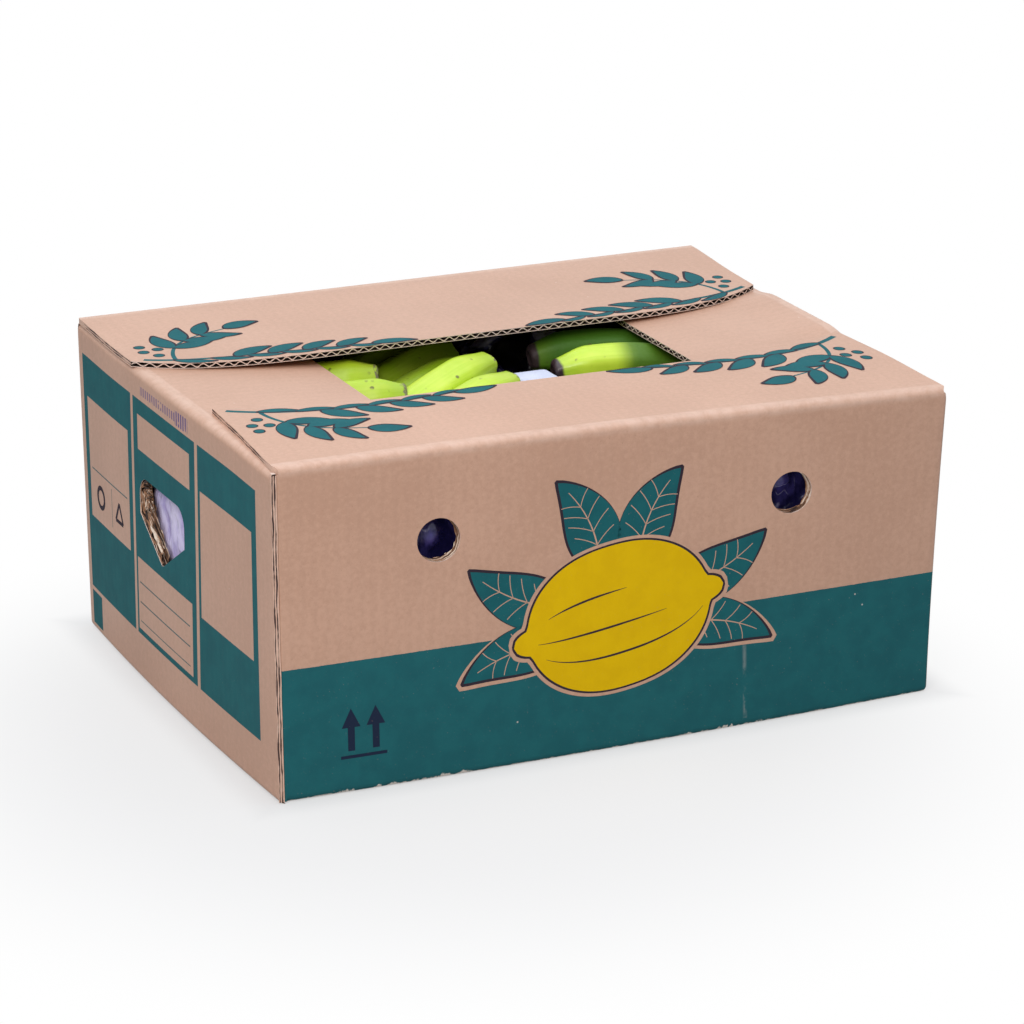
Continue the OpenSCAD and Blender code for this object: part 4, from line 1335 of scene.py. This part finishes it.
def foam_pad(name, node, foam, seed, skin):
    """A foam sheet folded double: the section runs up the outside, round two bends and down, then back
    inside at the sheet's thickness, and sways a little along the pad's length. Its ends are rounded."""
    lo, hi = (np.array(c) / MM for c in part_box(node))
    w, foot, top = hi[0] - lo[0], lo[2], hi[2]
    turn = np.linspace(0, math.pi / 2, 12)
    inside = 0.5
    bend = foam + inside

    def leg(inset):
        """The section's line at an inset from its outside: up one side, over the bends and down the other."""
        up = np.linspace(foot, top - bend, 24)[:-1]
        r = bend - inset
        arc = np.stack([bend - w / 2 - r * np.cos(turn), top - bend + r * np.sin(turn)], -1)
        half = np.concatenate([np.stack([0 * up - w / 2 + inset, up], -1), arc])
        return np.concatenate([half, half[::-1] * [-1, 1]])

    outer, inner = leg(0.0), leg(foam)
    loop = np.concatenate([outer, inner[::-1]])
    ys = np.linspace(0, 1, 30)
    soft = 1.2 * np.sqrt(np.clip(1 - np.minimum(1, np.minimum(ys, 1 - ys) / 0.02) ** 2, 0, 1))
    centre = (outer + inner) / 2
    centre = np.concatenate([centre, centre[::-1]])
    sway = noise_field(len(ys), 2, (7, 3), seed)[:, 0] * 0.7
    section = loop[None] + (centre - loop)[None] * (soft / (foam / 2))[:, None, None]
    rise = np.clip((section[..., 1] - foot) / (top - foot), 0, 1)
    x = section[..., 0] + (lo[0] + hi[0]) / 2 + sway[:, None] * rise
    y = np.broadcast_to((lo[1] + ys * (hi[1] - lo[1]))[:, None], rise.shape)
    points = np.stack([x, y, section[..., 1]], -1)
    b = Build()
    b.grid(points, 0, closed=True)
    for end, flip in ((0, False), (-1, True)):
        half = len(loop) // 2
        b.grid(np.stack([points[end, :half], points[end, half:][::-1]]), 0, flip=flip)
    obj = b.make(name, [skin])
    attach(obj, "carton")
    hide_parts(node)


def torn_tab():
    """Torn board in the left hand hole: strips that run beside the hole's back edge, each offset inwards by
    its place, at depths that alternate, over a ragged backing. The upper ones hang free and end early."""
    b = Build()
    rng = np.random.default_rng(11)
    bends = np.array([(44, 150.6), (52, 148), (56.4, 141.5), (57, 135), (57, 124), (15, 98.6)])
    length = np.concatenate([[0], np.cumsum(np.linalg.norm(np.diff(bends, axis=0), axis=1))])
    t = np.linspace(0, 1, 90)
    edge = np.stack([np.interp(t * length[-1], length, bends[:, i]) for i in range(2)], -1)
    # Directions along the edge, evened out over neighbouring points
    window = 15
    ahead = np.pad(along(edge), ((window // 2, window // 2), (0, 0)), "edge")
    even = np.ones(window) / window
    ahead = np.stack([np.convolve(ahead[:, i], even, "valid") for i in range(2)], -1)
    inward = np.stack([ahead[:, 1], -ahead[:, 0]], -1)

    def strip(stop, offset, depth, layer):
        """A strip beside the edge down to a share of its length, from its offsets and depths."""
        rows = t <= stop
        where = edge[rows][:, None] + inward[rows][:, None] * offset[rows][..., None]
        rest = np.concatenate([-W / 2 + depth[rows][..., None], where], -1)
        sheet = np.stack(np.broadcast_arrays(offset[rows], 100 * t[rows][:, None], float(layer)), -1)
        b.board(rest, 0, flip=True, sheet=sheet)

    across = np.linspace(0, 1, 5)[None]
    for i in range(11):
        if i < 5:
            stop = 1 - 0.03 * i - 0.04 * rng.uniform()
        else:
            stop = 0.6 - 0.035 * (i - 4) - 0.1 * rng.uniform()
        rag = np.interp(t, np.linspace(0, 1, 30), rng.uniform(-1, 1, 30))[:, None]
        rag_b = np.interp(t, np.linspace(0, 1, 24), rng.uniform(-1, 1, 24))[:, None]
        offset = 0.3 + 2.1 * i + 2.5 * across + (0.7 * across * rag + 0.5 * rag_b)
        slope = rng.uniform(-0.8, 1.2) * across
        depth = 0.7 + 1.9 * (i % 2) + 0.05 * i + slope + 0.4 * rag_b + 0.7 * rag * across
        strip(stop, offset, np.clip(depth, 0.2, 3.6), i)
    reach = np.interp(t, [0, 0.3, 0.5, 0.8, 1], [25, 22, 17, 13, 8])
    reach = reach + np.interp(t, np.linspace(0, 1, 40), rng.uniform(-1.8, 1.8, 40))
    strip(1.0, reach[:, None] * np.linspace(0, 1, 24)[None], np.full((len(t), 24), 3.8), 20)
    obj = b.make("torn_tab", [BOARD_MATERIALS[TORN]])
    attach(obj, "carton")


# Assembly

shell = carton_shell()
side_build = Build()
LEFT.build(side_build)
RIGHT.build(side_build)
side_flaps = side_build.make("side_flaps", BOARD_MATERIALS)
for piece in (shell, side_flaps):
    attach(piece, "carton")
    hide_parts("carton")
for name, flap, bend in (("front_flap", FRONT, bend_front), ("back_flap", BACK, bend_back)):
    flap_build = Build()
    flap.build(flap_build)
    board = flap_build.make(name + "_board", BOARD_MATERIALS)
    bend(board)
    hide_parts(name)
    ink = ink_piece(name + "_print", [(sprig(flap, way), flap_place(flap)) for way in (-1, 1)])
    bend(ink)
picture, marks = citrus() + arrows(), side_marks()
wall_ink = ink_piece("wall_print", [(picture, wall_place(0)), (picture, wall_place(2)),
                                    (marks, wall_place(1)), (marks, wall_place(3))])
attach(wall_ink, "carton")
torn_tab()
hands()
liner_film()
FOAM = 7.0
foam_skin = material("foam_sheet", foam_shading, Roughness=0.7)
foam_pad("side_foam", "side_pad", FOAM, 21, foam_skin)
foam_pad("divider_foam", "divider_pad", FOAM, 22, foam_skin)

# Stage


def add_object(name, data):
    """A new object in the scene."""
    obj = bpy.data.objects.new(name, data)
    bpy.context.scene.collection.objects.link(obj)
    return obj


def floor_shading(g):
    """White to the camera, but for a faint shadow that fades out with the distance from the carton and is
    deeper along its foot. To the light it is grey."""
    place = g.node("ShaderNodeTexCoord").outputs["Object"]
    near = {0: place, 1: (-0.1, -0.12, 0.0)}
    away = g.node("ShaderNodeVectorMath", near, operation="DISTANCE").outputs["Value"]
    seen = g.node("ShaderNodeLightPath").outputs["Is Camera Ray"]
    x, y, _ = g.split(place)
    beside = g.minus(g.math("ABSOLUTE", x), W / 2 * MM)
    before = g.minus(g.math("ABSOLUTE", y), D / 2 * MM)
    foot = g.span(g.top(beside, before), 0.0, 0.03, 0.72, 1.0)
    share = g.mul(seen, foot, g.span(away, 0.2, 0.47, 0.68, 1.0))
    matte = g.node("ShaderNodeBsdfDiffuse", {"Color": (0.55, 0.55, 0.55, 1)})
    white = g.node("ShaderNodeEmission", {"Color": (1, 1, 1, 1), "Strength": 1.0})
    return g.node("ShaderNodeMixShader", {0: share, 1: matte.outputs[0], 2: white.outputs[0]}).outputs[0]


def stage_floor():
    """A wide flat floor."""
    far = 30
    mesh = bpy.data.meshes.new("floor")
    mesh.from_pydata([(-far, -far, 0), (far, -far, 0), (far, far, 0), (-far, far, 0)], [], [(0, 1, 2, 3)])
    floor = add_object("floor", mesh)
    m = bpy.data.materials.new("floor")
    m.use_nodes = True
    nodes = m.node_tree.nodes
    nodes.remove(nodes["Principled BSDF"])
    g = Graph(m.node_tree)
    g.put(nodes["Material Output"].inputs["Surface"], floor_shading(g))
    mesh.materials.append(m)


def surround():
    """A white world that is dimmer as a light than it looks."""
    world = bpy.data.worlds.new("surround")
    bpy.context.scene.world = world
    world.use_nodes = True
    g = Graph(world.node_tree)
    path = g.node("ShaderNodeLightPath").outputs
    shown = g.top(path["Is Camera Ray"], path["Is Glossy Ray"])
    back = world.node_tree.nodes["Background"]
    back.inputs["Color"].default_value = (1, 1, 1, 1)
    light = 0.38
    g.put(back.inputs["Strength"], g.plus(light, g.mul(shown, 1 - light)))


def lamps():
    """A cool softbox above and a warm lamp from the front left, both turned to the carton."""
    target = Vector((0, 0, 0.1))
    for name, spot, size, power, tint in (("softbox", (0.1, 0.1, 2.1), 2.6, 36.0, (0.82, 0.895, 1.0)),
                                          ("window", (-1.0, -1.25, 1.45), 0.8, 19.4, (1.0, 0.945, 0.94))):
        lamp = bpy.data.lights.new(name, "AREA")
        lamp.shape = "SQUARE"
        lamp.size = size
        lamp.energy = power
        lamp.color = tint
        light = add_object(name, lamp)
        light.location = spot
        light.rotation_euler = (target - light.location).to_track_quat("-Z", "Y").to_euler()


def photo_camera():
    """The photograph's camera, solved from the carton's corners."""
    eye = bpy.data.cameras.new("camera")
    eye.lens, eye.sensor_width = 142.77, 36.0
    azimuth, elevation = math.radians(-24.7), math.radians(18.638)
    level = math.cos(elevation)
    back_way = Vector((math.sin(azimuth) * level, -math.cos(azimuth) * level, math.sin(elevation)))
    camera = add_object("camera", eye)
    camera.location = (-1.1119, -2.4396, 1.0118)
    camera.rotation_euler = (-back_way).to_track_quat("-Z", "Y").to_euler()
    bpy.context.scene.camera = camera
    bpy.context.scene.view_settings.view_transform = "Standard"


stage_floor()
surround()
lamps()
photo_camera()
bpy.context.view_layer.update()
